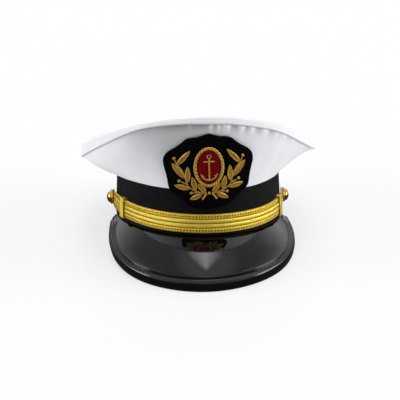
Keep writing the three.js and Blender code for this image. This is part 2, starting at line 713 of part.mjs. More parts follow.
// An almond from base to tip.
function leafGeometry(leaf, side) {
  const base = new THREE.Vector2(side * leaf.baseX, leaf.baseY);
  const tip = new THREE.Vector2(side * leaf.tipX, leaf.tipY);
  const along = tip.clone().sub(base);
  const length = along.length();
  along.normalize();
  const wide = new THREE.Vector2(-along.y, along.x);
  const outline = (turn) => {
    const k = 0.5 - 0.5 * Math.cos(radians(turn));
    const swell = (LEAF.width / 2) * Math.sin(Math.PI * k ** 0.9) ** 0.7 * Math.sign(180 - turn);
    return base.clone().addScaledVector(along, k * length).addScaledVector(wide, swell || 0);
  };
  outline.centre = base.clone().addScaledVector(along, length * 0.48);
  return padGeometry(outline, 14, ON_PATCH, LEAF.height, [0, 0.6, 1]);
}

// A thin cord laid on the patch through points of the badge's plane. A margin makes it thicker all round.
function laidCord(points, margin, thickness = STEM_RADIUS) {
  const route = new THREE.CatmullRomCurve3(points.map((p) => new THREE.Vector3(p.x, p.y, 0)));
  const steps = Math.max(3, Math.round(route.getLength() / 3));
  const radius = thickness + margin;
  const sections = range(steps).map((k) => {
    const at = route.getPointAt(k);
    const tangent = route.getTangentAt(k);
    at.addScaledVector(tangent, (2 * k - 1) * margin);
    return range(6, 0, 360).slice(0, -1).map((round) => {
      const aside = radius * Math.cos(radians(round + 30));
      const out = ON_PATCH + thickness + radius * Math.sin(radians(round + 30));
      return badgePoint(at.x - tangent.y * aside, at.y + tangent.x * aside, out);
    });
  });
  return toSolid(loft(sections));
}
function stemSolid(side, margin = 0) {
  const mirrored = (p) => ({ x: side * p.x, y: p.y });
  const cords = [
    laidCord(STEM_ROUTE.map(mirrored), margin),
    ...BERRIES.map((berry) => {
      const [from, to] = [new THREE.Vector2(berry.stalkX, berry.stalkY), new THREE.Vector2(berry.x, berry.y)];
      const short = 1 - (BERRY.radius + GAP) / from.distanceTo(to);
      return laidCord([from, from.clone().lerp(to, short)].map(mirrored), margin);
    }),
    laidCord([STEM_ROUTE[0], STEM_END].map(mirrored), margin, STEM_END.radius),
  ];
  return cords.reduce((sum, cord) => sum.add(cord));
}
// The stitches of a leaf stop beside the stem, and only its larger part is kept.
function trimmedLeaf(leaf, side, wideStem) {
  const parts = toSolid(leafGeometry(leaf, side)).subtract(wideStem).decompose();
  return toGeometry(parts.sort((a, b) => b.volume() - a.volume())[0]);
}

const { left, right } = STRAP_ENDS;
addPiece("band", withShankHoles(bandGeometry(), [left, right]), MATERIALS.blackCloth);
const seamTurn = GAP / 2 / ((CROWN.halfLength * Math.PI) / 180);
const [frontEnd, backEnd] = [CROWN.seamAngle - seamTurn, CROWN.seamAngle + seamTurn];
addPiece("crown_front", sideWallGeometry(-frontEnd, frontEnd), MATERIALS.whiteCloth);
addPiece("crown_back", sideWallGeometry(backEnd, 360 - backEnd), MATERIALS.whiteCloth);
addPiece("crown_top", topGeometry(), MATERIALS.whiteCloth);
addPiece("peak", peakGeometry(), MATERIALS.patent);
addPiece("peak_binding", bindingGeometry(), MATERIALS.patent);
addPiece("strap_left", withShankHoles(strapGeometry(left, "lower"), [left]), MATERIALS.goldLace);
addPiece("strap_right", withShankHoles(strapGeometry(right, "upper"), [right]), MATERIALS.goldLace);
addPiece("badge_patch", patchGeometry(), MATERIALS.blackCloth);
addPiece("badge_rope", ropeGeometry(), MATERIALS.bullion);
addPiece("badge_field", fieldGeometry(), MATERIALS.redCloth);
addPiece("badge_anchor", anchorGeometry(), MATERIALS.bullion);
const knot = padGeometry(roundOutline({ x: 0, y: STEM_ROUTE[0].y }, TIE.radius), 10, ON_PATCH, TIE.height);
addPiece("badge_tie", knot, MATERIALS.bullion);
for (const [name, end] of Object.entries(STRAP_ENDS)) {
  addPiece(`keeper_${name}`, keeperGeometry(end), MATERIALS.goldLace);
  addPiece(`button_${name}`, buttonGeometry(end), MATERIALS.goldMetal);
  addPiece(`stem_${name}`, toGeometry(stemSolid(end.side)), MATERIALS.bullion);
  const wideStem = stemSolid(end.side, GAP);
  for (const leaf of LEAVES) {
    addPiece(`leaf_${leaf.name}_${name}`, trimmedLeaf(leaf, end.side, wideStem), MATERIALS.bullion);
  }
  for (const berry of BERRIES) {
    const outline = roundOutline({ x: end.side * berry.x, y: berry.y }, BERRY.radius);
    const dome = padGeometry(outline, 10, ON_PATCH, BERRY.height, [0, 0.6, 1]);
    addPiece(`berry_${berry.name}_${name}`, dome, MATERIALS.bullion);
  }
}

// The cap settles: it tips back and to one side until both halves of its peak and the back of its
// band stand on one plane. The middle of its box then goes over the origin.
function lowest(name, side = 0) {
  const mesh = cap.getObjectByName(name);
  const points = mesh.geometry.attributes.position;
  const point = new THREE.Vector3();
  let best = new THREE.Vector3(0, 0, Infinity);
  for (let i = 0; i < points.count; i += 1) {
    if (points.getX(i) * side < 0) continue;
    mesh.localToWorld(point.fromBufferAttribute(points, i));
    if (point.z < best.z) best = point.clone();
  }
  return best;
}
for (let pass = 0; pass < 60; pass += 1) {
  cap.updateMatrixWorld(true);
  const back = lowest("band");
  const [low, high] = [lowest("peak_binding", -1), lowest("peak_binding", 1)];
  const front = Math.min(low.z, high.z);
  cap.rotation.x += (0.5 * (front - back.z)) / Math.max(50, back.y - low.y);
  cap.rotation.y += (0.5 * (high.z - low.z)) / Math.max(50, high.x - low.x);
}
cap.updateMatrixWorld(true);
const box = new THREE.Box3().setFromObject(cap, true);
cap.position.set(-(box.min.x + box.max.x) / 2, -(box.min.y + box.max.y) / 2, -box.min.z);

export default cap;
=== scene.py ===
"""The officer cap's finished surfaces, with its camera and light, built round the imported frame."""
import json
import math
from types import SimpleNamespace as Sizes

import bpy
import numpy as np
from mathutils import Matrix, Vector


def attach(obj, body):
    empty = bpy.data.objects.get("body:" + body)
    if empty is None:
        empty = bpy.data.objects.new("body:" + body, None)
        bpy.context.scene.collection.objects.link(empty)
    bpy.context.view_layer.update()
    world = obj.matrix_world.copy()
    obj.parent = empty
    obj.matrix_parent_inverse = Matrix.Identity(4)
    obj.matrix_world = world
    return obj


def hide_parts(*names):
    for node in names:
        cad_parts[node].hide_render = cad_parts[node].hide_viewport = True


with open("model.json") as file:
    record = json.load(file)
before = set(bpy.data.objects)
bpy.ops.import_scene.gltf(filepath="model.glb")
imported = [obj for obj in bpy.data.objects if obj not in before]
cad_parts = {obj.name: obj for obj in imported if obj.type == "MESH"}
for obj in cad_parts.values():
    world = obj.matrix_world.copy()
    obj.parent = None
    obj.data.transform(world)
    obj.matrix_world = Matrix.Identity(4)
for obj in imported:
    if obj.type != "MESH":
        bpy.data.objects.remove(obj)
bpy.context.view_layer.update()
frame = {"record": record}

# Sizes are millimetres in the cap's own frame, in which the band's lower edge lies level at z = 0.
# Angles are degrees round the cap from the front, positive towards +X, the wearer's left.
MILLIMETRE = 0.001
GAP = 0.3
BAND = Sizes(
    half_width=86, half_length=103, top_half_width=83.9, top_half_length=99.5, top_shift=-1.2,
    height=44, wall=3,
)
BAND_RADIUS = (BAND.half_width + BAND.half_length) / 2
CROWN = Sizes(
    half_width=119.6, half_length=127, centre_x=-1, centre_y=2, wall=2, tuck=12, lap=5, lap_most=0.8
)
TOP = Sizes(wall=1.7, edge_round=2.6, front_lean=2.5, side_lean=1, sag=3, rim_power=8)
PEAK = Sizes(wall=2, flange=8, end_angle=88, end_gap=0.004, rise=0.225)
PEAK_SKEW = Sizes(turn=2.5, rise=0.04)
STRAP = Sizes(
    width=18.6, end_width=17, wall=1, front_height=12.3, end_angle=88, overlap_angle=68,
    round_angle=5, tip_share=0.35, column=0.575,
)
# Each half of the strap leaves its level past the overlap and lies on its button's seat before the button.
LANDING = Sizes(past_overlap=0.5, before_button=5)
# A keeper's valleys between its ridges are painted darker: painted shade.
KEEPER = Sizes(width=8.5, wall=0.9, ridges=4, ridge=0.3, valley_tone=0.42, valley_power=0.6)
BUTTON = Sizes(
    angle=85, radius=7.7, height=6.2, shank_radius=1.4, shank_end=1, shank_round=0.4,
    dome_inset=1.3, dome_foot=1.5, dome_step=10, sides=64,
)
BADGE = Sizes(
    foot_height=24, foot_inset=1.8, top_share=0.86, length=80.6, centre_up=48.3, centre_x=3.3,
    turn=3.5, lean=2.3, wall=2,
)
OVAL = Sizes(half_width=14.3, half_height=20.8, rope_width=3.2, rope_height=2.6, field_height=1.2)
# The rope's grooves between its strands are painted darker: painted shade.
ROPE = Sizes(turns=30, strands=2, waist=0.74, groove_tone=0.15, groove_power=0.7)
# The cord's grooves between its strands are painted darker: painted shade.
CORD = Sizes(pitch=2.2, waist=0.8, groove_tone=0.2, column=0.35, fewest_columns=12, rows=12, reach=0.02)
STEM = Sizes(radius=0.6, cut_radius=1)
BERRY = Sizes(radius=1.5, height=1.5)
TIE = Sizes(radius=1.5, height=1.8)
ANCHOR = Sizes(
    height=27, ring_radius=2.3, ring_inset=0.55, ring_wire=0.5, bar=1.5, bar_inset=0.6,
    stock_half=5.2, stock_drop=8, arm_radius=8.2, arm_reach=62, fluke_wire=0.6,
    ring_points=25, arm_points=17,
)
ENDS = {
    "left": Sizes(side=-1, height=17.7, seat=4.1, keeper_angle=62.5, level="lower"),
    "right": Sizes(side=1, height=20, seat=3, keeper_angle=65.5, level="upper"),
}

# The crown's sections: angle, how far the band's upper edge wanders, the seam's height, the height
# of the strip above it, and how far the side wall bellies.
HEM, SEAM, STRIP, BELLY = 1, 2, 3, 4
CROWN_SECTIONS = [
    (-180, 0, 60, 12, 0),
    (-135, -1, 59, 12, 0.5),
    (-90, -3.2, 58, 14, 2.8),
    (-68, -0.8, 71.5, 13.4, 2),
    (-51, 0.4, 87, 10.2, 1.2),
    (-31, 0.3, 106, 4.7, 1),
    (-15, 0, 113, 4.5, 1),
    (0, 0, 114.3, 6, 1),
    (15, 0, 112.7, 6.3, 0.6),
    (35, 0.6, 103.5, 8.2, 0),
    (55, 2.2, 86, 12.2, -1.5),
    (72, 2.6, 74, 13.9, -3),
    (90, 2, 69.4, 13.2, -3.3),
    (135, 1, 62, 12.5, -1),
]
# The peak's sections, the same on both sides: angle, reach from the band, and slope.
REACH, SLOPE = 1, 2
PEAK_SECTIONS = [
    (0, 57.3, 49.8),
    (18, 54.7, 50),
    (36, 48.1, 50.5),
    (52, 38.3, 51.2),
    (66, 26.2, 52),
    (76, 15.6, 52.6),
    (83, 8, 53),
    (88, 1.2, 53.2),
]
# The outline of the badge's patch, the same on both sides: angle from the top, and radius.
PATCH_OUTLINE = [
    (0, 33.2), (10, 32.2), (20, 32.1), (28, 33.8), (36, 35.6), (46, 35.9), (55, 37.7), (64, 41.5),
    (70, 43.5), (76, 43.9), (82, 43.1), (90, 41.5), (98, 40.7), (106, 40.9), (114, 42.3), (121, 43.4),
    (130, 42.8), (142, 42.7), (152, 44.5), (162, 45.4), (172, 44.8), (180, 44.3),
]
# The wreath's leaves on one side, from base to tip, in the badge's plane from the oval's centre.
LEAVES = {
    "crest": ((30.1, 2.9), (17.1, 17.1)),
    "outer_high": ((22.5, -11), (34.2, 6)),
    "inner_high": ((19.6, -15.6), (19.8, 0.9)),
    "outer_low": ((18, -22.3), (32.1, -17.7)),
    "inner_low": ((12.5, -24), (15.5, -10)),
    "foot_inner": ((3.2, -26.6), (10.6, -17.2)),
    "foot_outer": ((6.4, -27.9), (17.9, -33.4)),
}
# Each berry's middle, and the foot of its stalk.
BERRIES = {
    "high": ((32, 10.8), (29.4, 3.8)),
    "middle": ((27.7, -13.2), (20.2, -17.2)),
    "low": ((16.6, -26.4), (9.5, -25.7)),
}
STEM_ROUTE = [
    (2.5, -27.2), (6.4, -26.8), (11.4, -25), (16.6, -21.8),
    (20.2, -17.2), (22.2, -9.8), (24.9, -2.4), (29.4, 3.8),
]
STEM_END = (6.9, -33.8)

# The photograph's camera, in the cap's own frame.
VIEW = Sizes(
    target=(0, -20, 40), distance=1400, turn=3.5, height=12, roll=-0.8, drop=22.8, lens=122.6,
    far_end=100,
)


def lerp(a, b, k):
    return a + (b - a) * k


def smooth(k):
    k = np.clip(k, 0, 1)
    return k * k * (3 - 2 * k)


def bell(value, middle, reach):
    """A soft bump that is 1 at its middle."""
    return np.exp(-(((value - middle) / reach) ** 2))


def arch(share):
    """0 at both ends and 1 half way."""
    return 4 * share * (1 - share)


def coils(turns):
    """Round coils side by side, one to each turn: 0 between them and 1 on them."""
    return np.abs(np.sin(math.pi * turns))


def points(x, y, z):
    return np.stack(np.broadcast_arrays(x, y, z), -1).astype(float)


def unit(vectors):
    return vectors / np.maximum(np.linalg.norm(vectors, axis=-1, keepdims=True), 1e-9)


def curve_through(rows, column, whole_turn=False):
    """A smooth curve through one column of a table, by the angle in its first column.

    It closes after a whole turn, or else is the same on both sides and ends level.
    """
    past_end = 10
    at = np.array([row[0] for row in rows], float)
    value = np.array([row[column] for row in rows], float)
    if whole_turn:
        at = np.concatenate([at - 360, at, at + 360])
        value = np.tile(value, 3)
    else:
        at = np.concatenate([-at[:0:-1], at, [at[-1] + past_end]])
        value = np.concatenate([value[:0:-1], value, value[-1:]])
    slope = (value[2:] - value[:-2]) / (at[2:] - at[:-2])
    at, value = at[1:-1], value[1:-1]

    def curve(angle):
        angle = np.asarray(angle, float)
        angle = (angle + 180) % 360 - 180 if whole_turn else np.clip(angle, at[0], at[-1])
        i = np.clip(np.searchsorted(at, angle, side="right") - 1, 0, len(at) - 2)
        span = at[i + 1] - at[i]
        k = (angle - at[i]) / span
        rise = (3 - 2 * k) * k * k
        ease = k * (1 - k)
        return lerp(value[i], value[i + 1], rise) + span * ease * ((1 - k) * slope[i] - k * slope[i + 1])

    return curve


hem_wander = curve_through(CROWN_SECTIONS, HEM, whole_turn=True)
seam_height = curve_through(CROWN_SECTIONS, SEAM, whole_turn=True)
strip_height = curve_through(CROWN_SECTIONS, STRIP, whole_turn=True)
belly = curve_through(CROWN_SECTIONS, BELLY, whole_turn=True)
peak_reach = curve_through(PEAK_SECTIONS, REACH)
peak_slope = curve_through(PEAK_SECTIONS, SLOPE)
patch_radius = curve_through(PATCH_OUTLINE, 1)


# Shapes of the cap in its own frame

def band_normal(angle):
    t = np.radians(angle)
    return unit(points(np.sin(t) / BAND.half_width, -np.cos(t) / BAND.half_length, 0))


def band_point(angle, height, out=0):
    """A point outside the band, at an angle round it, a height, and a distance off its cloth."""
    t = np.radians(angle)
    k = height / BAND.height
    half_width = lerp(BAND.half_width, BAND.top_half_width, k)
    half_length = lerp(BAND.half_length, BAND.top_half_length, k)
    foot = points(k * BAND.top_shift + half_width * np.sin(t), -half_length * np.cos(t), height)
    return foot + band_normal(angle) * np.expand_dims(np.asarray(out, float), -1)


def band_top(angle):
    return BAND.height + hem_wander(angle)


def seam_point(angle):
    t = np.radians(angle)
    x = CROWN.centre_x + CROWN.half_width * np.sin(t)
    return points(x, CROWN.centre_y - CROWN.half_length * np.cos(t), seam_height(angle))


def seam_normal(angle):
    t = np.radians(angle)
    return unit(points(np.sin(t) / CROWN.half_width, -np.cos(t) / CROWN.half_length, 0))


def strip_lean(angle):
    return lerp(TOP.front_lean, TOP.side_lean, np.abs(np.sin(np.radians(angle))))


def wall_point(angle, share):
    """The crown's side wall, at a share of the way from the band to the seam."""
    k = np.expand_dims(np.asarray(share, float), -1)
    point = lerp(band_point(angle, band_top(angle)), seam_point(angle), k)
    point[..., 2] += GAP * (1 - share) - belly(angle) * arch(share)
    return point


def rim_height(angle):
    return seam_height(angle) + strip_height(angle)


# The top is drawn tight over its rim like a drumhead, so its height is the harmonic surface through it.
RIM_SAMPLES = np.arange(-180, 180, 5)
WAVES_OF_RIM = 8
HARMONICS = [
    (
        n,
        np.mean(rim_height(RIM_SAMPLES) * np.cos(np.radians(n * RIM_SAMPLES))) * (2 if n else 1),
        np.mean(rim_height(RIM_SAMPLES) * np.sin(np.radians(n * RIM_SAMPLES))) * (2 if n else 1),
    )
    for n in range(WAVES_OF_RIM)
]


def top_height(angle, share):
    """The top's height at a share of the way from its centre to its rim."""

    def wave(k):
        turns = ((n, cos, sin, np.radians(n * angle)) for n, cos, sin in HARMONICS)
        return sum(k**n * (cos * np.cos(t) + sin * np.sin(t)) for n, cos, sin, t in turns)

    missed = rim_height(angle) - wave(np.ones_like(share))
    return wave(share) + missed * share**TOP.rim_power - TOP.sag * (1 - share * share)


def even_curve(route):
    """A route of points as a function of the share of its length, with its direction."""
    steps = np.linalg.norm(np.diff(route, axis=0), axis=1)
    at = np.concatenate([[0], np.cumsum(steps)])
    at /= at[-1]

    def point(share):
        return np.stack([np.interp(share, at, route[:, i]) for i in range(3)], -1)

    def direction(share, reach=0.004):
        return unit(point(np.minimum(share + reach, 1)) - point(np.maximum(share - reach, 0)))

    return point, direction


PEAK_ANGLES = np.linspace(-PEAK.end_angle, PEAK.end_angle, 4 * PEAK.end_angle + 1)


def peak_edge_route():
    slope = np.radians(peak_slope(PEAK_ANGLES))
    reach = peak_reach(PEAK_ANGLES)
    route = band_point(PEAK_ANGLES + PEAK_SKEW.turn, 0, reach * np.cos(slope))
    rise = PEAK_SKEW.rise * route[:, 0] * reach / PEAK_SECTIONS[0][REACH]
    route[:, 2] = rise - GAP - reach * np.sin(slope)
    return route


def peak_root_route():
    route = band_point(PEAK_ANGLES + PEAK_SKEW.turn, 0)
    route[:, 2] = -GAP
    return route


peak_root, _ = even_curve(peak_root_route())
peak_edge, peak_edge_direction = even_curve(peak_edge_route())


def peak_point(along, share):
    """The peak's upper face from its root (share 0) to its edge (1) and on, its normal and its length."""
    root, edge = peak_root(along), peak_edge(along)
    rule = edge - root
    length = np.linalg.norm(rule, axis=-1)
    normal = unit(np.cross(peak_edge_direction(along), rule))
    normal *= np.where(normal[..., 2:] < 0, -1, 1)
    crowned = np.where(share < 1, PEAK.rise * length * (share - share**4), 0)
    return root + rule * share[..., None] + normal * crowned[..., None], normal, length


def strap_climb(angle):
    return (np.abs(angle) / BUTTON.angle) ** 2


def strap_middle(angle):
    end_height = np.where(angle < 0, ENDS["left"].height, ENDS["right"].height)
    return lerp(STRAP.front_height, end_height, strap_climb(angle))


def strap_width(angle):
    return lerp(STRAP.width, STRAP.end_width, strap_climb(angle))


STRAP_OUT = {"lower": KEEPER.wall + 2 * GAP, "upper": KEEPER.wall + STRAP.wall + 3 * GAP}


def strap_out(end, angle):
    """How far off the band a half of the strap lies: its own level, then out onto its button."""
    first = STRAP.overlap_angle + LANDING.past_overlap
    last = BUTTON.angle - LANDING.before_button
    landing = smooth((end.side * angle - first) / (last - first))
    return lerp(STRAP_OUT[end.level], end.seat - GAP - STRAP.wall, landing)


def badge_point(across, up, out):
    """A point of the badge from the oval's centre, and its distance from the back of the patch."""
    turn, lean = math.radians(BADGE.turn), math.radians(BADGE.lean)
    x = across * math.cos(turn) - up * math.sin(lean) + BADGE.centre_x
    y = across * math.sin(turn) + up * math.cos(lean)
    share = (BADGE.centre_up + y) / BADGE.length
    top_half_width = lerp(BAND.top_half_width, CROWN.half_width, BADGE.top_share)
    half_width = lerp(BAND.half_width - BADGE.foot_inset, top_half_width, share)

    def at(x, k):
        angle = np.degrees(np.arcsin(x / half_width))
        foot = band_point(angle, BADGE.foot_height)
        return lerp(foot, wall_point(angle, np.full_like(angle, BADGE.top_share)), k[..., None])

    step, share_step = 1, 0.01
    on = at(x + step, share) - at(x - step, share)
    upwards = at(x, share + share_step) - at(x, share - share_step)
    normal = unit(np.cross(on, upwards))
    return at(x, share) + normal * (2 * GAP + np.asarray(out, float))[..., None]


ON_PATCH = BADGE.wall + GAP


def resting_place():
    """The cap's place: tipped so that its rim meets the plane that the record's mount gives."""
    mount = frame["record"]["mounts"][0]
    axis = Vector(mount["axis"])
    side_tip = math.asin(-axis.x)
    back_tip = math.asin(axis.y / math.cos(side_tip))
    tip = Matrix.Rotation(back_tip, 4, "X") @ Matrix.Rotation(side_tip, 4, "Y")
    rim_back = Vector((0, BAND.half_length - BAND.wall / 2, 0)) * MILLIMETRE
    foot = Vector(mount["pos_m"]) - tip @ rim_back
    return Matrix.Translation(foot) @ tip @ Matrix.Scale(MILLIMETRE, 4)


PLACE = resting_place()


# Making pieces

def deselect():
    for thing in bpy.context.selected_objects:
        thing.select_set(False)


def only(piece):
    deselect()
    piece.select_set(True)
    bpy.context.view_layer.objects.active = piece


def tidy_mesh(piece, reach=1e-4):
    """Joins the points that meet, clears what has no area and turns the faces outwards."""
    only(piece)
    bpy.ops.object.mode_set(mode="EDIT")
    bpy.ops.mesh.select_all(action="SELECT")
    bpy.ops.mesh.remove_doubles(threshold=reach)
    bpy.ops.mesh.dissolve_degenerate(threshold=reach)
    bpy.ops.mesh.delete_loose()
    bpy.ops.mesh.select_all(action="SELECT")
    bpy.ops.mesh.normals_make_consistent(inside=False)
    bpy.ops.object.mode_set(mode="OBJECT")


def moulded(name, grid, place, size, tone=None):
    """A grid whose points are moved to their places. size is its UV map's, in millimetres."""
    deselect()
    bpy.ops.mesh.primitive_grid_add(x_subdivisions=grid[0], y_subdivisions=grid[1], size=1)
    piece = bpy.context.object
    piece.name = piece.data.name = name
    mesh = piece.data
    at = np.empty(len(mesh.vertices) * 3)
    mesh.vertices.foreach_get("co", at)
    u, v = at.reshape(-1, 3)[:, 0] + 0.5, at.reshape(-1, 3)[:, 1] + 0.5
    mesh.vertices.foreach_set("co", place(u, v).ravel())
    if tone is not None:
        shade = mesh.attributes.new("tone", "FLOAT", "POINT")
        shade.data.foreach_set("value", np.broadcast_to(tone(u, v), u.shape).astype(np.float32))
    flat = np.empty(len(mesh.loops) * 2)
    mesh.uv_layers[0].data.foreach_get("uv", flat)
    flat = (flat.reshape(-1, 2) * size).ravel()
    mesh.uv_layers[0].data.foreach_set("uv", flat)
    mesh.update()
    tidy_mesh(piece)
    return piece


def shell(name, surface, grid, wall, size, ring=False, edge_rows=4, tone=None, pole=None):
    """A wall with rounded edges behind a surface given by (along, share), each from 0 to 1.

    grid is the surface's columns and rows, and size its length and width for the UV map.
    A ring joins its ends. All columns meet in one point at the share that pole gives.
    """
    columns, rows = grid
    length, width = size
    end = 0 if ring else edge_rows
    last = 2 * (rows + edge_rows)
    small = 1e-3

    def section(v):
        step = v * last
        corners = [0, rows, rows + edge_rows, 2 * rows + edge_rows, last]
        share = np.interp(step, corners, [0, 1, 1, 0, 0])
        turn = np.interp(step, corners, [0, 0, np.pi, np.pi, 2 * np.pi])
        return share, turn

    def lengthways(u):
        column = u * (columns + 2 * end)
        along = np.clip((column - end) / columns, 0, 1)
        nearest = np.minimum(column, columns + 2 * end - column)
        phase = np.clip(nearest / end, 0, 1) * np.pi / 2 if end else np.full_like(u, np.pi / 2)
        before = np.where(column < columns / 2, -1, 1)
        return along, phase, before

    def place(u, v):
        share, turn = section(v)
        along, phase, before = lengthways(u)
        low, high = np.maximum(share - small, 0), np.minimum(share + small, 1)
        back, ahead = along - small, along + small
        if not ring:
            back, ahead = np.maximum(back, 0), np.minimum(ahead, 1)
        up = unit(surface(along, high) - surface(along, low))
        level = share if pole is None else np.clip(share, small, 1 - small)
        on = unit(surface(ahead, level) - surface(back, level))
        normal = unit(np.cross(on, up))
        centre = np.isin(share, [pole])
        if centre.any():
            normal[centre] = unit(normal[centre].mean(axis=0))
        across = (np.cos(turn) * np.sin(phase))[:, None]
        past = np.where(centre, 0, np.sin(turn) * np.sin(phase))[:, None]
        beyond = (before * np.cos(phase))[:, None]
        return surface(along, share) + wall / 2 * (normal * (across - 1) + up * past + on * beyond)

    shade = None
    if tone is not None:

        def shade(u, v):
            return tone(lengthways(u)[0], section(v)[0])

    return moulded(name, (columns + 2 * end, last), place, (length, 2 * width), shade)


def finish(piece, node, material):
    """Puts a finished piece in its place on the cap, in the stead of its node."""
    only(piece)
    piece.matrix_world = PLACE
    bpy.ops.object.transform_apply(location=True, rotation=True, scale=True)
    bpy.ops.object.shade_smooth()
    piece.data.materials.clear()
    piece.data.materials.append(material)
    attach(piece, "root")
    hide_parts(node)


# Materials

WAVE_PERIOD = 2 * math.pi / 20  # of a wave texture at scale 1

WHITE_CLOTH = (0.82, 0.83, 0.85)
BLACK_CLOTH = (0.004, 0.004, 0.0045)
FELT_BLACK = (0.0015, 0.0016, 0.002)
VELVET_RED = (0.15, 0.0015, 0.004)
PATENT_BLACK = (0.0015, 0.0015, 0.002, 1)
WORN_GILT = (0.70, 0.36, 0.06, 1)
BRIGHT_GILT = (0.95, 0.66, 0.17, 1)
# The two golds at tone 0, a half and 1. Low tone is mostly painted shade in grooves and between coils, high
# tone painted highlight; on the leaves the tone also gives the orange heart and the yellow outline.
LACE_GOLD = [(0.10, 0.035, 0.001, 1), (0.70, 0.42, 0.02, 1), (1.0, 0.80, 0.12, 1)]
BULLION_GOLD = [(0.07, 0.018, 0.001, 1), (0.80, 0.28, 0.008, 1), (1.0, 0.74, 0.14, 1)]


class Board:
    """A node tree with short ways to add its nodes and join them."""

    def __init__(self, tree):
        self.tree = tree

    def node(self, kind, inputs=(), **settings):
        made = self.tree.nodes.new(kind)
        for key, value in settings.items():
            setattr(made, key, value)
        for name, value in dict(inputs).items():
            self.set(made.inputs[name], value)
        return made

    def set(self, socket, value):
        if isinstance(value, bpy.types.NodeSocket):
            self.tree.links.new(value, socket)
        else:
            socket.default_value = value

    def math(self, operation, a, b=0.0, clamp=False):
        return self.node("ShaderNodeMath", {0: a, 1: b}, operation=operation, use_clamp=clamp).outputs[0]

    def plus(self, base, value, gain):
        """A base, with a value times its gain added."""
        return self.math("ADD", base, self.math("MULTIPLY", value, gain))

    def mix(self, factor, a, b):
        inputs = {"Factor": factor, "A": a, "B": b}
        return self.node("ShaderNodeMix", inputs, data_type="RGBA").outputs["Result"]

    def scaled(self, colour, factor):
        made = self.node("ShaderNodeVectorMath", {0: colour}, operation="SCALE")
        self.set(made.inputs["Scale"], factor)
        return made.outputs[0]

    def group(self, tree, **inputs):
        """The output of a node group of this scene, with its inputs set."""
        return self.node("ShaderNodeGroup", inputs, node_tree=tree).outputs[0]

    def uv_map(self):
        return self.node("ShaderNodeUVMap", uv_map="UVMap").outputs[0]

    def object_map(self):
        return self.node("ShaderNodeTexCoord").outputs["Object"]

    # The tone attribute: painted light and shade on most pieces, and on the leaves also their two colours.
    def tone(self):
        return self.node("ShaderNodeAttribute", attribute_name="tone").outputs["Fac"]


def new_group(name, inputs, output):
    """A node group with a vector and some number inputs, and one output."""
    tree = bpy.data.node_groups.new(name, "ShaderNodeTree")
    tree.interface.new_socket(name="Vector", in_out="INPUT", socket_type="NodeSocketVector")
    for key, value in inputs.items():
        socket = tree.interface.new_socket(name=key, in_out="INPUT", socket_type="NodeSocketFloat")
        socket.default_value = value
    tree.interface.new_socket(name=output, in_out="OUTPUT", socket_type="NodeSocketFloat")
    board = Board(tree)
    return board, board.node("NodeGroupInput").outputs, board.node("NodeGroupOutput").inputs[output]


def ribs_group():
    """Straight ribs at an angle across a map in millimetres, each a round ridge."""
    board, given, height = new_group("ribs", {"Pitch": 1.0, "Angle": 0.0, "Waver": 0.2}, "Height")
    inputs = {"Vector": given["Vector"], "Angle": given["Angle"]}
    turned = board.node("ShaderNodeVectorRotate", inputs, rotation_type="Z_AXIS").outputs[0]
    scale = board.math("DIVIDE", WAVE_PERIOD, given["Pitch"])
    inputs = {"Vector": turned, "Scale": scale, "Distortion": given["Waver"], "Detail": 1.0}
    wave = board.node("ShaderNodeTexWave", inputs, bands_direction="X", wave_profile="SIN")
    board.set(height, wave.outputs["Fac"])
    return board.tree


def mottle_group():
    """Soft uneven patches about 1 in the middle, for colour and roughness."""
    board, given, out = new_group("mottle", {"Size": 8.0, "Amount": 0.1}, "Value")
    scale = board.math("DIVIDE", 1.0, given["Size"])
    noise = board.node("ShaderNodeTexNoise", {"Vector": given["Vector"], "Scale": scale, "Detail": 3.0})
    centred = board.math("SUBTRACT", noise.outputs["Fac"], 0.5)
    swing = board.math("MULTIPLY", centred, board.math("MULTIPLY", given["Amount"], 2.0))
    board.set(out, board.math("ADD", swing, 1.0))
    return board.tree


RIBS = ribs_group()
MOTTLE = mottle_group()


def finish_of(name, **constants):
    """A new material: its board and its shader, with the constants set on the shader's own sockets."""
    material = bpy.data.materials.new(name)
    material.use_nodes = True
    board = Board(material.node_tree)
    shader = next(n for n in material.node_tree.nodes if n.type == "BSDF_PRINCIPLED")
    for key, value in constants.items():
        shader.inputs[key.replace("_", " ")].default_value = value
    return material, board, shader


def bump(board, shader, height, distance):
    inputs = {"Height": height, "Distance": distance, "Strength": 1.0}
    board.set(shader.inputs["Normal"], board.node("ShaderNodeBump", inputs).outputs[0])


def shaded(board, shader, colour, value):
    """Sets the base colour, made lighter and darker by a value about 1."""
    board.set(shader.inputs["Base Color"], board.scaled(colour, value))


def roughened(board, shader, uneven, roughness):
    board.set(shader.inputs["Roughness"], board.math("MULTIPLY", uneven, roughness))


def white_twill():
    material, board, shader = finish_of(
        "white_twill", Roughness=0.62, Sheen_Weight=0.25, Sheen_Roughness=0.4, Specular_IOR_Level=0.35
    )
    where = board.uv_map()
    twill = board.group(RIBS, Vector=where, Pitch=0.9, Angle=1.05, Waver=0.6)
    weft = board.group(RIBS, Vector=where, Pitch=0.5, Angle=0.0, Waver=0.3)
    soft = board.group(MOTTLE, Vector=where, Size=14.0, Amount=0.03)
    weave = board.plus(board.math("MULTIPLY", twill, 0.7), weft, 0.3)
    # The weave's ribs make the cloth a little darker between them: painted shade.
    shade = board.math("MULTIPLY", soft, board.plus(0.97, weave, 0.03))
    # The tone attribute lays the crown's painted light and shade on the cloth.
    shaded(board, shader, WHITE_CLOTH, board.math("MULTIPLY", shade, board.tone()))
    bump(board, shader, weave, 0.06 * MILLIMETRE)
    return material


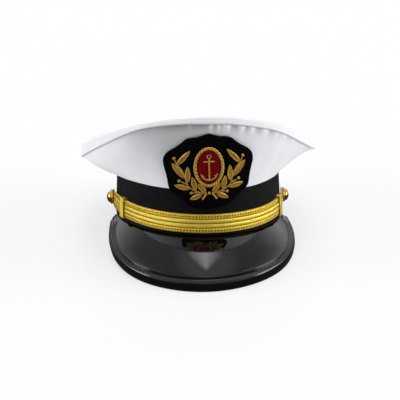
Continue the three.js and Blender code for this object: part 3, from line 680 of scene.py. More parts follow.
def black_ribbed():
    material, board, shader = finish_of(
        "black_ribbed", Roughness=0.75, Sheen_Weight=0.015, Sheen_Roughness=0.5, Specular_IOR_Level=0.1
    )
    where = board.uv_map()
    rib = board.group(RIBS, Vector=where, Pitch=1.6, Angle=math.pi / 2, Waver=0.15)
    thread = board.group(RIBS, Vector=where, Pitch=0.6, Angle=0.0, Waver=0.4)
    height = board.plus(rib, thread, 0.25)
    # The base colour is darker in the grooves between the ribs: painted shade.
    shaded(board, shader, BLACK_CLOTH, board.plus(0.6, height, 0.6))
    bump(board, shader, height, 0.22 * MILLIMETRE)
    return material


def felt(name, colour, sheen, size):
    """A short pile, whose tufts have a size in millimetres."""
    material, board, shader = finish_of(
        name, Roughness=0.9, Sheen_Weight=sheen, Sheen_Roughness=0.5, Specular_IOR_Level=0.04
    )
    pile = board.group(MOTTLE, Vector=board.uv_map(), Size=size, Amount=0.6)
    shaded(board, shader, colour, pile)
    bump(board, shader, pile, 0.18 * MILLIMETRE)
    return material


def patent():
    material, board, shader = finish_of(
        "black_patent", Base_Color=PATENT_BLACK, IOR=1.5, Coat_Weight=0.4, Coat_Roughness=0.03
    )
    where = board.object_map()
    wave = board.group(MOTTLE, Vector=where, Size=0.02, Amount=0.5)
    dust = board.group(MOTTLE, Vector=where, Size=0.0015, Amount=0.25)
    roughened(board, shader, dust, 0.05)
    bump(board, shader, wave, 0.05 * MILLIMETRE)
    return material


def by_tone(board, dark, middle, bright):
    """A colour by the piece's tone: dark at 0, the middle colour at a half and bright at 1."""
    tone = board.tone()
    low = board.math("MULTIPLY", tone, 2.0, clamp=True)
    high = board.math("SUBTRACT", board.math("MULTIPLY", tone, 2.0), 1.0, clamp=True)
    return board.mix(high, board.mix(low, dark, middle), bright)


def gold_lace():
    """Flat gilt thread woven in slanting ribs."""
    material, board, shader = finish_of("gold_lace", Metallic=0.75, Specular_IOR_Level=0.5)
    where = board.uv_map()
    rib = board.group(RIBS, Vector=where, Pitch=1.7, Angle=0.65, Waver=1.2)
    cross = board.group(RIBS, Vector=where, Pitch=0.7, Angle=math.pi / 2, Waver=0.3)
    uneven = board.group(MOTTLE, Vector=where, Size=3.0, Amount=0.25)
    # The colour is lighter on the slanting ribs and darker between them: painted highlight and shade.
    thread = board.plus(0.76, rib, 0.3)
    shaded(board, shader, by_tone(board, *LACE_GOLD), board.math("MULTIPLY", uneven, thread))
    roughened(board, shader, uneven, 0.4)
    bump(board, shader, board.plus(rib, cross, 0.3), 0.2 * MILLIMETRE)
    return material


def gold_bullion():
    """Coiled gilt wire over padding."""
    material, board, shader = finish_of("gold_bullion", Metallic=0.5, Specular_IOR_Level=0.5)
    where = board.uv_map()
    coil = board.group(RIBS, Vector=where, Pitch=0.7, Angle=0.6, Waver=0.8)
    uneven = board.group(MOTTLE, Vector=where, Size=1.3, Amount=0.9)
    # The colour is much darker between the wire's coils and lighter on them: painted shade and highlight.
    thread = board.plus(0.25, coil, 0.85)
    shaded(board, shader, by_tone(board, *BULLION_GOLD), board.math("MULTIPLY", uneven, thread))
    roughened(board, shader, uneven, 0.36)
    bump(board, shader, coil, 0.15 * MILLIMETRE)
    return material


def gilt():
    """Bright gilt metal, a little worn."""
    material, board, shader = finish_of("gilt", Metallic=1.0)
    worn = board.group(MOTTLE, Vector=board.object_map(), Size=0.003, Amount=0.4)
    share = board.math("SUBTRACT", worn, 0.5, clamp=True)
    board.set(shader.inputs["Base Color"], board.mix(share, WORN_GILT, BRIGHT_GILT))
    roughened(board, shader, worn, 0.2)
    return material


WHITE = white_twill()
BLACK = black_ribbed()
BLACK_FELT = felt("black_felt", FELT_BLACK, sheen=0.002, size=0.9)
RED_VELVET = felt("red_velvet", VELVET_RED, sheen=0.01, size=0.6)
PATENT = patent()
LACE = gold_lace()
BULLION = gold_bullion()
GILT = gilt()


# The band and the crown

def make_band():
    def surface(along, share):
        angle = 360 * along - 180
        inset = BAND.wall / 2
        return band_point(angle, lerp(inset, band_top(angle) - inset, share))

    piece = shell("band_cloth", surface, grid=(288, 40), wall=BAND.wall, size=(594, BAND.height), ring=True)
    finish(piece, "band", BLACK)


# Where the stitches gather the cloth below the seam: angle, half width in degrees, and height.
TUCKS = [
    (-62, 3.2, 0.5), (-47, 2.6, 0.35), (-33, 2.4, 0.3), (-20, 2, 0.3), (-8, 1.7, 0.35), (2.2, 1.1, 0.8),
    (5.6, 1.1, 0.9), (9.4, 1.6, 1.5), (16.4, 1.5, 1.3), (21.6, 1.6, 1.2), (28.8, 1.9, 1.1), (35.5, 1.8, 0.7),
    (41, 2.2, 0.8), (48.5, 2.6, 0.7), (58, 3, 0.5), (70, 3, 0.5),
]
TUCK = Sizes(reach=6.5, start=1.2, gain=1.7)
# Long soft folds from the band up to the seam: angle, half width in degrees, and height.
FOLDS = [(-66, 5, 0.7), (-45, 6, 0.5), (-28, 5, 0.5), (27, 5, 0.5), (40, 4, 0.5), (52, 5, 0.7), (70, 6, 0.7)]
# Small uneven waves along the seam, between and over the tucks.
RIPPLE = Sizes(height=0.15, count=6, per_turn=47, slowest=0.75, quickest=1.3, sharpness=1.3, seed=5)
# Painted light and shade on the white cloth, by where: painted shade in the gaps between the tucks and at
# the front under the rim, a painted shadow under the strip's edge along the seam, painted highlights on the
# tucks' crests and painted light on the flanks. Then the strip above the seam.
CLOTH_PAINTED_SHADING = Sizes(
    gap=0.04, gathered_gap=0.3, gathered_at=12, gathered_half=32, open_from=0.1, open_over=1.2,
    open_below=2, line=0.14, line_below=0.3, line_half=0.6, front=0.44, front_at=-17, front_half=25,
    front_reach=50, crest=0.2, flank=0.16, flank_reach=16, flank_from=32, flank_over=12,
)
# Painted shade on the strip and top: all of it a little darker, and darker still low on the strip's front.
STRIP_PAINTED_SHADE = Sizes(plain=0.8, front=0.19, front_at=-2, front_half=32)


def ripple(angle):
    """Small uneven waves round the crown that swing about 0."""
    rng = np.random.default_rng(RIPPLE.seed)
    speeds = rng.uniform(RIPPLE.slowest, RIPPLE.quickest, RIPPLE.count)
    phases = rng.uniform(0, 2 * math.pi, RIPPLE.count)
    waves = [np.sin(np.radians(angle) * RIPPLE.per_turn * k + p) for k, p in zip(speeds, phases)]
    return np.tanh(RIPPLE.sharpness * sum(waves) / 2)


def bumps(angle, table):
    return sum(height * bell(angle, at, half) for at, half, height in table)


def pucker(angle, below):
    """How far the cloth stands out at a distance below the seam, where the stitches gather it."""
    fade = bell(below, 0, TUCK.reach) * smooth(below / TUCK.start)
    return fade * (TUCK.gain * bumps(angle, TUCKS) + RIPPLE.height * ripple(angle))


def painted_cloth_shading(angle, below):
    """Painted shade in the tucks' gaps and at the front, a painted shadow under the strip, painted light on
    crests and flanks.
    """
    near = bell(below, 0, TUCK.reach)
    standing = pucker(angle, np.full_like(below, CLOTH_PAINTED_SHADING.open_below))
    open_cloth = smooth((standing - CLOTH_PAINTED_SHADING.open_from) / CLOTH_PAINTED_SHADING.open_over)
    gathered = bell(angle, CLOTH_PAINTED_SHADING.gathered_at, CLOTH_PAINTED_SHADING.gathered_half)
    # Painted shade in the gaps between the tucks, near the seam.
    gap = near * (1 - open_cloth) * (CLOTH_PAINTED_SHADING.gap + CLOTH_PAINTED_SHADING.gathered_gap * gathered)
    # A painted shadow just below the strip's edge, along the seam.
    line = CLOTH_PAINTED_SHADING.line * bell(below, CLOTH_PAINTED_SHADING.line_below, CLOTH_PAINTED_SHADING.line_half)
    # Painted shade at the front, under the rim.
    front = CLOTH_PAINTED_SHADING.front * bell(angle, CLOTH_PAINTED_SHADING.front_at, CLOTH_PAINTED_SHADING.front_half) * bell(below, 0, CLOTH_PAINTED_SHADING.front_reach)
    # Painted light on the flanks and painted highlights on the tucks' crests.
    flank = smooth((np.abs(angle) - CLOTH_PAINTED_SHADING.flank_from) / CLOTH_PAINTED_SHADING.flank_over)
    bright = CLOTH_PAINTED_SHADING.crest * near * open_cloth * gathered + CLOTH_PAINTED_SHADING.flank * bell(below, 0, CLOTH_PAINTED_SHADING.flank_reach) * flank
    return 1 + bright - gap - line - front


def side_wall(first, last):
    """The crown's side wall: inside the band, over its edge, up to the seam and on behind the strip."""
    # The shares at which the cloth leaves the band's inside, starts up the wall and passes the seam.
    corners = [0, 0.1, 0.14, 0.92, 1]

    def wall_length(angle):
        return np.linalg.norm(seam_point(angle) - band_point(angle, band_top(angle)), axis=-1)

    def surface(along, share):
        angle = lerp(first, last, along)
        low = np.interp(share, corners[:2], [0, 1])
        inner_height = lerp(BAND.height - CROWN.tuck, band_top(angle) + GAP, low)
        inner = band_point(angle, inner_height, -BAND.wall - GAP)
        over = band_point(angle, band_top(angle))
        over[..., 2] += GAP
        point = lerp(inner, over, np.interp(share, corners[1:3], [0, 1])[..., None])
        up = np.interp(share, corners[2:4], [0, 1])
        length = np.linalg.norm(seam_point(angle) - over, axis=-1)
        raised = pucker(angle, length * (1 - up)) + arch(up) * bumps(angle, FOLDS)
        wall = wall_point(angle, up) + seam_normal(angle) * raised[..., None]
        point = np.where((share > corners[2])[..., None], wall, point)
        rise = strip_height(angle) - TOP.edge_round
        part = np.minimum(CROWN.lap_most, CROWN.lap / rise) * np.interp(share, corners[3:], [0, 1])
        point = point - seam_normal(angle) * (strip_lean(angle) * part)[..., None]
        point[..., 2] += rise * part
        return point

    # The wall's tone is the cloth's painted light and shade.
    def tone(along, share):
        angle = lerp(first, last, along)
        up = np.interp(share, corners[2:4], [0, 1])
        return painted_cloth_shading(angle, wall_length(angle) * (1 - up))

    return surface, tone


def make_crown_walls():
    turn = math.degrees(GAP / 2 / CROWN.half_length)
    for node, first, last in (("crown_front", turn - 90, 90 - turn), ("crown_back", 90 + turn, 270 - turn)):
        surface, tone = side_wall(first, last)
        piece = shell(f"{node}_cloth", surface, grid=(340, 72), wall=CROWN.wall, size=(370, 90), tone=tone)
        finish(piece, node, WHITE)


def make_crown_top():
    """The strip over the seam, turned round the rim and closed by the top."""
    # The shares at which the strip ends, the rim's round ends, and the columns meet in the centre.
    corners = [0, 0.1, 0.15, 1]

    def surface(along, share):
        angle = 360 * along - 180
        normal = seam_normal(angle)
        seam = seam_point(angle) + normal * (GAP + TOP.wall)
        lean = strip_lean(angle)
        up = np.interp(share, corners[:2], [0, 1])
        rise = strip_height(angle) - TOP.edge_round
        point = seam - normal * (lean * up)[..., None]
        point[..., 2] += lerp(TOP.wall / 2, rise, up)
        turn = np.interp(share, corners[1:3], [0, math.pi / 2])
        point -= normal * (TOP.edge_round * (1 - np.cos(turn)))[..., None]
        point[..., 2] += TOP.edge_round * np.sin(turn)
        rim = seam - normal * (lean + TOP.edge_round)[..., None]
        out = 1 - np.interp(share, corners[2:], [0, 1])
        centre = points(CROWN.centre_x, CROWN.centre_y, np.zeros_like(share))
        top = lerp(centre, rim, out[..., None])
        top[..., 2] = top_height(angle, out)
        return np.where((share > corners[2])[..., None], top, point)

    # Painted shade: the strip and top darker all over, and darker near the seam at the front.
    def tone(along, share):
        angle = 360 * along - 180
        low = 1 - np.interp(share, corners[:2], [0, 1])
        front = bell(angle, STRIP_PAINTED_SHADE.front_at, STRIP_PAINTED_SHADE.front_half)
        return STRIP_PAINTED_SHADE.plain - STRIP_PAINTED_SHADE.front * low * front

    piece = shell(
        "crown_top_cloth", surface, grid=(320, 80), wall=TOP.wall, size=(780, 140),
        ring=True, tone=tone, pole=1,
    )
    finish(piece, "crown_top", WHITE)


# The peak and its binding

def make_peak():
    # The shares at which the sheet reaches its root, passes the band's foot and ends in the flange.
    corners = [0, 0.84, 0.88, 1]

    def surface(along, share):
        along = lerp(PEAK.end_gap, 1 - PEAK.end_gap, along)
        inset = PEAK.wall / 2 / np.linalg.norm(peak_edge(along) - peak_root(along), axis=-1)
        point, _, _ = peak_point(along, 1 - np.interp(share, corners[:2], [inset.min(), 1]))
        root = peak_root(along)
        angle = np.degrees(np.arctan2(root[..., 0] / BAND.half_width, -root[..., 1] / BAND.half_length))
        inside = band_point(angle, 0, -BAND.wall - GAP)
        inside[..., 2] -= GAP
        point = lerp(point, inside, np.interp(share, corners[1:3], [0, 1])[..., None])
        flange = band_point(angle, PEAK.flange, -BAND.wall - GAP)
        return lerp(point, flange, np.interp(share, corners[2:], [0, 1])[..., None])

    piece = shell("peak_patent", surface, grid=(220, 60), wall=PEAK.wall, size=(300, 75))
    finish(piece, "peak", PATENT)


# The binding's section: distance inwards from the peak's edge, and height over its upper face. It
# starts with the lip over the groove, then goes over the stitched roll and the edge, and back below.
BINDING_SECTION = [
    (12.4, 0.15), (11.8, 0.6), (11.2, 1.1), (10.8, 1.3), (10.4, 1.25), (10, 0.9), (9.5, 0.3), (9.2, 0.12),
    (8.9, 0.3), (8.4, 0.9), (7.9, 1.35), (7.3, 1.7), (6.5, 2.05), (5.6, 2.3), (4.7, 2.4), (3.8, 2.35),
    (2.8, 2.1), (1.8, 1.8), (0.9, 1.35), (0.1, 0.8), (-0.6, 0.1), (-1.15, -0.75), (-1.4, -1.7), (-1.1, -2.5),
    (-0.4, -3.05), (0.6, -3.2), (3, -3.2), (6, -3.2), (8.9, -3.1), (9.2, -2.75), (8.9, -2.3), (6, -2.2),
    (3, -2.2), (0.4, -2.2), (-0.2, -1.6), (-0.2, -0.4), (0.4, 0.15), (3, 0.15), (6, 0.15), (9, 0.15),
]
# The binding keeps within a share of the peak's reach, and narrows to a point at both ends.
BINDING = Sizes(
    depth=BINDING_SECTION[0][0], length=330, around=30, end_gap=0.035, reach_share=0.8,
    taper=0.004, tip_in=3, tip_up=-1, columns=800, rows_per_side=3,
)
# The roll's stitches: where they lie in the section, above what height, and their pitch and depth.
BEAD = Sizes(middle=6.2, reach=1.8, above=0.6, pitch=2.6, depth=0.6)


def make_peak_binding():
    section = np.array(BINDING_SECTION + BINDING_SECTION[:1], float)
    steps = np.linspace(0, 1, len(section))

    def place(u, v):
        along = lerp(BINDING.end_gap, 1 - BINDING.end_gap, u)
        inwards = np.interp(v, steps, section[:, 0])
        up = np.interp(v, steps, section[:, 1])
        on_bead = smooth(1 - np.abs(inwards - BEAD.middle) / BEAD.reach) * (up > BEAD.above)
        up = up - BEAD.depth * on_bead * (1 - coils(u * BINDING.length / BEAD.pitch))
        _, _, length = peak_point(along, np.ones_like(along))
        rule = unit(peak_edge(along) - peak_root(along))
        square = np.linalg.norm(np.cross(peak_edge_direction(along), rule), axis=-1)
        widest = np.minimum(1 / square, length * BINDING.reach_share / BINDING.depth)
        inwards = np.where(inwards > 0, inwards * widest, inwards)
        taper = smooth(np.minimum(u, 1 - u) / BINDING.taper)
        up = lerp(BINDING.tip_up, up, taper)
        inwards = lerp(BINDING.tip_in, inwards, taper)
        point, normal, _ = peak_point(along, 1 - inwards / length)
        return point + normal * up[..., None]

    grid = (BINDING.columns, BINDING.rows_per_side * (len(section) - 1))
    piece = moulded("peak_binding_patent", grid, place, size=(BINDING.length, BINDING.around))
    finish(piece, "peak_binding", PATENT)


# The strap, its keepers and its buttons

LACE_BANDS = 4
RIDGE = 0.45
GROOVE = Sizes(half_width=0.45, depth=0.35)
STITCH = Sizes(inset=2.1, pitch=3.2, radius=1.05, depth=0.45)
# Painted light and shade on the lace: lighter along each band's crown, darker in the grooves and stitch
# dents.
LACE_PAINTED_SHADING = Sizes(plain=0.72, dome=0.3, groove=0.62, stitch=1.2)


def lace_relief(run, across, width):
    """The height of the lace at a distance along it and across from its lower edge, and its painted shading.
    """
    band = width / LACE_BANDS
    to_groove = np.abs((across / band + 0.5) % 1 - 0.5) * band
    inner = (across > band / 2) & (across < width - band / 2)
    groove = np.where(inner, bell(to_groove, 0, GROOVE.half_width), 0)
    to_row = np.minimum(np.abs(across - STITCH.inset), np.abs(across - width + STITCH.inset))
    to_stitch = ((run / STITCH.pitch) % 1 - 0.5) * STITCH.pitch
    stitch = bell(to_row, 0, STITCH.radius) * bell(to_stitch, 0, STITCH.radius)
    dome = 1 - (2 * (across / band % 1) - 1) ** 2
    height = RIDGE * (dome - 1) - GROOVE.depth * groove - STITCH.depth * stitch
    # Painted highlight along each band's crown, painted shade in the grooves and the stitch dents.
    tone = LACE_PAINTED_SHADING.plain + LACE_PAINTED_SHADING.dome * dome - LACE_PAINTED_SHADING.groove * groove - LACE_PAINTED_SHADING.stitch * stitch
    return height, np.clip(tone, 0, 1)


def strap_span(end):
    """The strap half's first and last angle, going up in angle."""
    near, far = -STRAP.overlap_angle * end.side, STRAP.end_angle * end.side
    return min(near, far), max(near, far)


def make_straps():
    for name, end in ENDS.items():
        first, last = strap_span(end)
        length = math.radians(last - first) * BAND_RADIUS

        def relief(along, share):
            width = strap_width(lerp(first, last, along))
            return lace_relief(along * length, share * width, width)

        def surface(along, share):
            angle = lerp(first, last, along)
            past_button = end.side * angle - STRAP.end_angle
            round_share = np.clip(1 + past_button / STRAP.round_angle, 0, 1)
            rounded = np.sqrt(np.clip(1 - round_share**2, 0, 1))
            half_height = (strap_width(angle) - STRAP.wall) * lerp(STRAP.tip_share, 0.5, rounded)
            height = strap_middle(angle) + (2 * share - 1) * half_height
            out = strap_out(end, angle) + STRAP.wall
            return band_point(angle, height, out + relief(along, share)[0])

        # The strap's tone is its painted light and shade.
        def tone(along, share):
            return relief(along, share)[1]

        grid = (int(length / STRAP.column), 48)
        size = (length, STRAP.width)
        piece = shell(f"strap_{name}_lace", surface, grid=grid, wall=STRAP.wall, size=size, tone=tone)
        finish(piece, f"strap_{name}", LACE)


def make_keepers():
    """Loops of ribbed lace round both halves of the strap, beside the buttons."""
    for name, end in ENDS.items():
        middle = end.side * end.keeper_angle
        wall = KEEPER.wall
        tall = strap_width(middle) / 2 + GAP
        shallow, deep = STRAP_OUT["lower"] - GAP, STRAP_OUT["upper"] + STRAP.wall + GAP
        low_edge, high_edge = -tall - wall, tall + wall
        corners = np.array([
            (low_edge, deep + wall / 2), (low_edge + wall / 2, deep + wall), (0, deep + wall),
            (high_edge - wall / 2, deep + wall), (high_edge, deep + wall / 2),
            (high_edge, shallow - wall / 2), (high_edge - wall / 2, shallow - wall), (0, shallow - wall),
            (low_edge + wall / 2, shallow - wall), (low_edge, shallow - wall / 2),
            (low_edge, deep + wall / 2),
        ])
        around = np.concatenate([[0], np.cumsum(np.linalg.norm(np.diff(corners, axis=0), axis=1))])
        per_mm = 1 / np.linalg.norm(band_point(middle + 0.5, 0) - band_point(middle - 0.5, 0))

        def surface(along, share):
            run = along % 1 * around[-1]
            angle = middle - (share - 0.5) * (KEEPER.width - wall) * per_mm
            up = np.interp(run, around, corners[:, 0])
            out = np.interp(run, around, corners[:, 1])
            ridge = KEEPER.ridge * coils(KEEPER.ridges * share) * (out > deep)
            return band_point(angle, strap_middle(angle) + up, out + ridge)

        # Painted shade in the valleys between the ridges.
        def tone(along, share):
            return lerp(KEEPER.valley_tone, 1, coils(KEEPER.ridges * share) ** KEEPER.valley_power)

        size = (around[-1], KEEPER.width)
        piece = shell(
            f"keeper_{name}_lace", surface, grid=(120, 32), wall=wall, size=size,
            ring=True, edge_rows=3, tone=tone,
        )
        finish(piece, f"keeper_{name}", LACE)


# The section of a button's rolled rim: distance inside its radius, and height.
BUTTON_RIM = [(0.9, 0), (0.3, 0.3), (0, 0.9), (0.15, 1.5), (0.7, 1.75), (1.15, 1.45)]
TINY = 0.001


def button_profile(shank):
    """A button's radius and height from the end of its shank, over the rim, to the dome's middle."""
    foot = [(TINY, shank), (BUTTON.shank_end, shank), (BUTTON.shank_radius, shank + BUTTON.shank_round)]
    rim = [(BUTTON.radius - inset, height) for inset, height in BUTTON_RIM]
    wide, high = BUTTON.radius - BUTTON.dome_inset, BUTTON.height - BUTTON.dome_foot
    turns = [math.radians(degrees) for degrees in range(0, 91, BUTTON.dome_step)]
    dome = [(wide * math.cos(turn), BUTTON.dome_foot + high * math.sin(turn)) for turn in turns]
    return [*foot, (BUTTON.shank_radius, 0), *rim, *dome]


def make_buttons():
    """A domed gilt button with a rolled rim and a shank, drawn out ring by ring along its axis."""
    for name, end in ENDS.items():
        profile = button_profile(-BAND.wall - end.seat)
        deselect()
        bpy.ops.mesh.primitive_circle_add(vertices=BUTTON.sides, radius=profile[0][0], location=(0, 0, 0))
        piece = bpy.context.object
        piece.name = piece.data.name = f"button_{name}_gilt"
        bpy.ops.object.mode_set(mode="EDIT")
        bpy.ops.mesh.select_all(action="SELECT")
        bpy.ops.transform.translate(value=(0, 0, profile[0][1]))
        for (radius, height), (wider, higher) in zip(profile, profile[1:]):
            bpy.ops.mesh.extrude_edges_move(TRANSFORM_OT_translate={"value": (0, 0, higher - height)})
            scale = max(wider, TINY) / radius
            bpy.ops.transform.resize(value=(scale, scale, 1), center_override=(0, 0, higher))
        bpy.ops.object.mode_set(mode="OBJECT")
        tidy_mesh(piece, 2 * TINY)
        angle = np.array(end.side * BUTTON.angle, float)
        taper = (BAND.half_width - BAND.top_half_width - end.side * BAND.top_shift) / BAND.height
        axis = Vector(band_normal(angle)) + Vector((0, 0, taper))
        seat = Vector(band_point(angle, strap_middle(angle), end.seat))
        only(piece)
        piece.matrix_world = Matrix.Translation(seat) @ axis.to_track_quat("Z", "Y").to_matrix().to_4x4()
        bpy.ops.object.transform_apply(location=True, rotation=True, scale=True)
        finish(piece, f"button_{name}", GILT)


# The badge

def make_patch():
    def surface(along, share):
        turn = 360 * along % 360 - 180
        radius = (patch_radius(turn) - BADGE.wall / 2) * share
        t = np.radians(turn)
        return badge_point(radius * np.sin(t), radius * np.cos(t), np.full_like(share, BADGE.wall))

    piece = shell(
        "badge_patch_felt", surface, grid=(180, 30), wall=BADGE.wall, size=(250, 40), ring=True, pole=0
    )
    finish(piece, "badge_patch", BLACK_FELT)


def make_rope():
    """A gilt rope twisted of two strands, laid round the oval."""

    def strands(u, v):
        return np.abs(np.cos(math.pi * (v * ROPE.strands - ROPE.turns * u)))

    def place(u, v):
        t, around = 2 * math.pi * u, 2 * math.pi * v
        full = lerp(ROPE.waist, 1, strands(u, v))
        middle = OVAL.rope_width / 2
        inwards = middle - middle * full * np.cos(around)
        out = ON_PATCH + OVAL.rope_height * (1 - full * np.sin(around)) / 2
        across = (OVAL.half_width - inwards) * np.sin(t)
        return badge_point(across, (OVAL.half_height - inwards) * np.cos(t), out)

    # Painted shade in the grooves between the strands.
    def tone(u, v):
        return lerp(ROPE.groove_tone, 1, strands(u, v) ** ROPE.groove_power)

    piece = moulded("badge_rope_bullion", grid=(360, 24), place=place, size=(110, 9), tone=tone)
    finish(piece, "badge_rope", BULLION)


def make_field():
    inset = OVAL.rope_width + GAP + OVAL.field_height / 2
    half_width, half_height = OVAL.half_width - inset, OVAL.half_height - inset
    height = ON_PATCH + OVAL.field_height

    def surface(along, share):
        t = 2 * math.pi * along
        across, up = half_width * share * np.sin(t), half_height * share * np.cos(t)
        return badge_point(across, up, np.full_like(share, height))

    piece = shell(
        "badge_field_velvet", surface, grid=(64, 16), wall=OVAL.field_height, size=(90, 16),
        ring=True, pole=0,
    )
    finish(piece, "badge_field", RED_VELVET)


def smoothed(route, per_step=12):
    """A route of points with a smooth curve through them."""
    padded = np.concatenate([2 * route[:1] - route[1:2], route, 2 * route[-1:] - route[-2:-1]])
    made = []
    for a, b, c, d in zip(padded, padded[1:], padded[2:], padded[3:]):
        for k in np.arange(per_step) / per_step:
            made.append(b + 0.5 * k * (c - a + k * (2 * a - 5 * b + 4 * c - d + k * (3 * (b - c) + d - a))))
    return np.array([*made, route[-1]])


def cord(name, route, radius, floor):
    """A twisted cord laid along a route in the badge's plane."""
    route = smoothed(np.array([(x, y, 0) for x, y in route], float))
    point, direction = even_curve(route)
    length = np.linalg.norm(np.diff(route, axis=0), axis=1).sum()

    def strands(u, v):
        return np.abs(np.cos(2 * math.pi * v - math.pi * u * length / CORD.pitch))

    def place(u, v):
        around = 2 * math.pi * v
        centre, ahead = point(u), direction(u, CORD.reach)
        end = np.sqrt(np.clip(np.minimum(u, 1 - u) * length / radius, 0, 1))
        full = radius * lerp(CORD.waist, 1, strands(u, v)) * end
        aside = np.cos(around) * full
        x = centre[..., 0] - ahead[..., 1] * aside
        y = centre[..., 1] + ahead[..., 0] * aside
        return badge_point(x, y, floor + radius + np.sin(around) * full)

    # Painted shade in the grooves between the strands.
    def tone(u, v):
        return lerp(CORD.groove_tone, 1, strands(u, v))

    grid = (max(CORD.fewest_columns, int(length / CORD.column)), CORD.rows)
    return moulded(name, grid, place, size=(length, 6 * radius), tone=tone)


def join(name, parts):
    only(parts[0])
    for part in parts[1:]:
        part.select_set(True)
    bpy.ops.object.join()
    parts[0].name = parts[0].data.name = name
    return parts[0]


def mirrored(side, route):
    return [(side * x, y) for x, y in route]


def make_stems():
    """The wreath's stem on each side, with its cut end and the berries' stalks."""
    for name, end in ENDS.items():
        parts = [cord("stem", mirrored(end.side, STEM_ROUTE), STEM.radius, ON_PATCH)]
        for (x, y), (stalk_x, stalk_y) in BERRIES.values():
            apart = math.hypot(x - stalk_x, y - stalk_y)
            stop = 1 - (BERRY.radius + GAP) / apart
            reach = [(stalk_x, stalk_y), (lerp(stalk_x, x, stop), lerp(stalk_y, y, stop))]
            parts.append(cord("stalk", mirrored(end.side, reach), STEM.radius, ON_PATCH))
        cut_end = mirrored(end.side, [STEM_ROUTE[0], STEM_END])
        parts.append(cord("cut_end", cut_end, STEM.cut_radius, ON_PATCH))
        piece = join(f"stem_{name}_bullion", parts)
        finish(piece, f"stem_{name}", BULLION)


# A leaf's shape: how its belly sits towards the base, how full it is, and how high it stands.
LEAF = Sizes(width=5.2, height=1.5, belly_power=0.9, full_power=0.7, rise=1.15, rise_power=0.5)
# The coils of its outline and of its heart: how they slant, their pitch, and their height and depth
# as shares of the leaf's. The outline's place is a share of the half width.
OUTLINE = Sizes(slant=-1.2, pitch=1.3, at=0.72, reach=0.2, height=0.2, coil=0.25)
HEART = Sizes(slant=1.6, pitch=0.9, height=0.55, coil=0.12)
# The leaf's tone: the orange heart and yellow outline are its own colours; lighter on the wire's coils is
# painted highlight, and the dark line at the outline's foot is painted shade.
LEAF_TONE = Sizes(
    heart=0.5, heart_coil=0.14, outline=0.88, outline_coil=0.2, dark=0.46, dark_reach=0.09,
    edge_at=0.42, edge_over=0.15, tip_at=0.8, tip_over=0.15,
)


def make_leaf(name, side, base, tip):
    """An almond of padded gilt wire: a coiled outline round a sunk orange heart."""
    base, tip = np.array((side * base[0], base[1])), np.array((side * tip[0], tip[1]))
    length = np.linalg.norm(tip - base)
    ahead = (tip - base) / length
    aside = np.array((-ahead[1], ahead[0]))
    half = LEAF.width / 2

    def along_leaf(u):
        return (1 - np.cos(math.pi * u)) / 2

    def wound(wire, k, across):
        return coils((k * length + across * wire.slant) / wire.pitch)

    def place(u, v):
        k = along_leaf(u)
        swell = half * np.sin(math.pi * np.clip(k, 0, 1) ** LEAF.belly_power) ** LEAF.full_power
        around = 2 * math.pi * v
        across = np.sin(around)
        outline = bell(np.abs(across), OUTLINE.at, OUTLINE.reach)
        outline = outline * (OUTLINE.height + OUTLINE.coil * wound(OUTLINE, k, np.abs(across)))
        heart = HEART.height + HEART.coil * wound(HEART, k, across)
        height = np.where(np.cos(around) > 0, heart + outline, 0)
        height = height * np.sqrt(np.clip(np.abs(np.cos(around)), 0, 1))
        x = base[0] + ahead[0] * k * length + aside[0] * swell * across
        y = base[1] + ahead[1] * k * length + aside[1] * swell * across
        rise = LEAF.height * LEAF.rise * np.clip(swell / half, 0, 1) ** LEAF.rise_power
        return badge_point(x, y, ON_PATCH + rise * height)

    def tone(u, v):
        across = np.abs(np.sin(2 * math.pi * v))
        wire = wound(OUTLINE, along_leaf(u), across)
        # Lighter on the wire's coils: painted highlight.
        heart = LEAF_TONE.heart + LEAF_TONE.heart_coil * wire
        bright = LEAF_TONE.outline + LEAF_TONE.outline_coil * wire
        edge = smooth((across - LEAF_TONE.edge_at) / LEAF_TONE.edge_over)
        edge = np.maximum(edge, smooth((u - LEAF_TONE.tip_at) / LEAF_TONE.tip_over))
        # Darker at the foot of the raised outline: painted shade.
        dark = LEAF_TONE.dark * bell(across, LEAF_TONE.edge_at, LEAF_TONE.dark_reach)
        return lerp(heart, bright, edge) - dark

    return moulded(name, grid=(56, 40), place=place, size=(length, 4 * half), tone=tone)


def make_leaves():
    for name, end in ENDS.items():
        for leaf, (base, tip) in LEAVES.items():
            piece = make_leaf(f"leaf_{leaf}_{name}_bullion", end.side, base, tip)
            finish(piece, f"leaf_{leaf}_{name}", BULLION)


# A knot's dome takes up this share of its rows, and its foot the others.
# A knot's grooves between its coils are painted darker: painted shade.
KNOT = Sizes(dome_rows=0.7, edge=0.3, coils=2, groove=0.12, bright=1.1, groove_tone=0.5)


def make_knot(name, x, y, size):
    """A small dome wound of gilt wire."""

    def place(u, v):
        share = np.interp(v, [0, KNOT.dome_rows, 1], [0, 1, 0])
        dome = lerp(KNOT.edge, 1, np.sqrt(np.clip(1 - share * share, 0, 1)))
        dome = dome - KNOT.groove * coils(share * KNOT.coils + u)
        t = 2 * math.pi * u
        out = ON_PATCH + np.where(v < KNOT.dome_rows, dome * size.height, 0)
        return badge_point(x + size.radius * share * np.sin(t), y + size.radius * share * np.cos(t), out)

    # Painted shade in the grooves between the coils.
    def tone(u, v):
        return KNOT.bright - KNOT.groove_tone * coils(v / KNOT.dome_rows * KNOT.coils + u)

    round_and_up = (2 * math.pi * size.radius, 2 * size.radius)
    return moulded(name, grid=(28, 20), place=place, size=round_and_up, tone=tone)


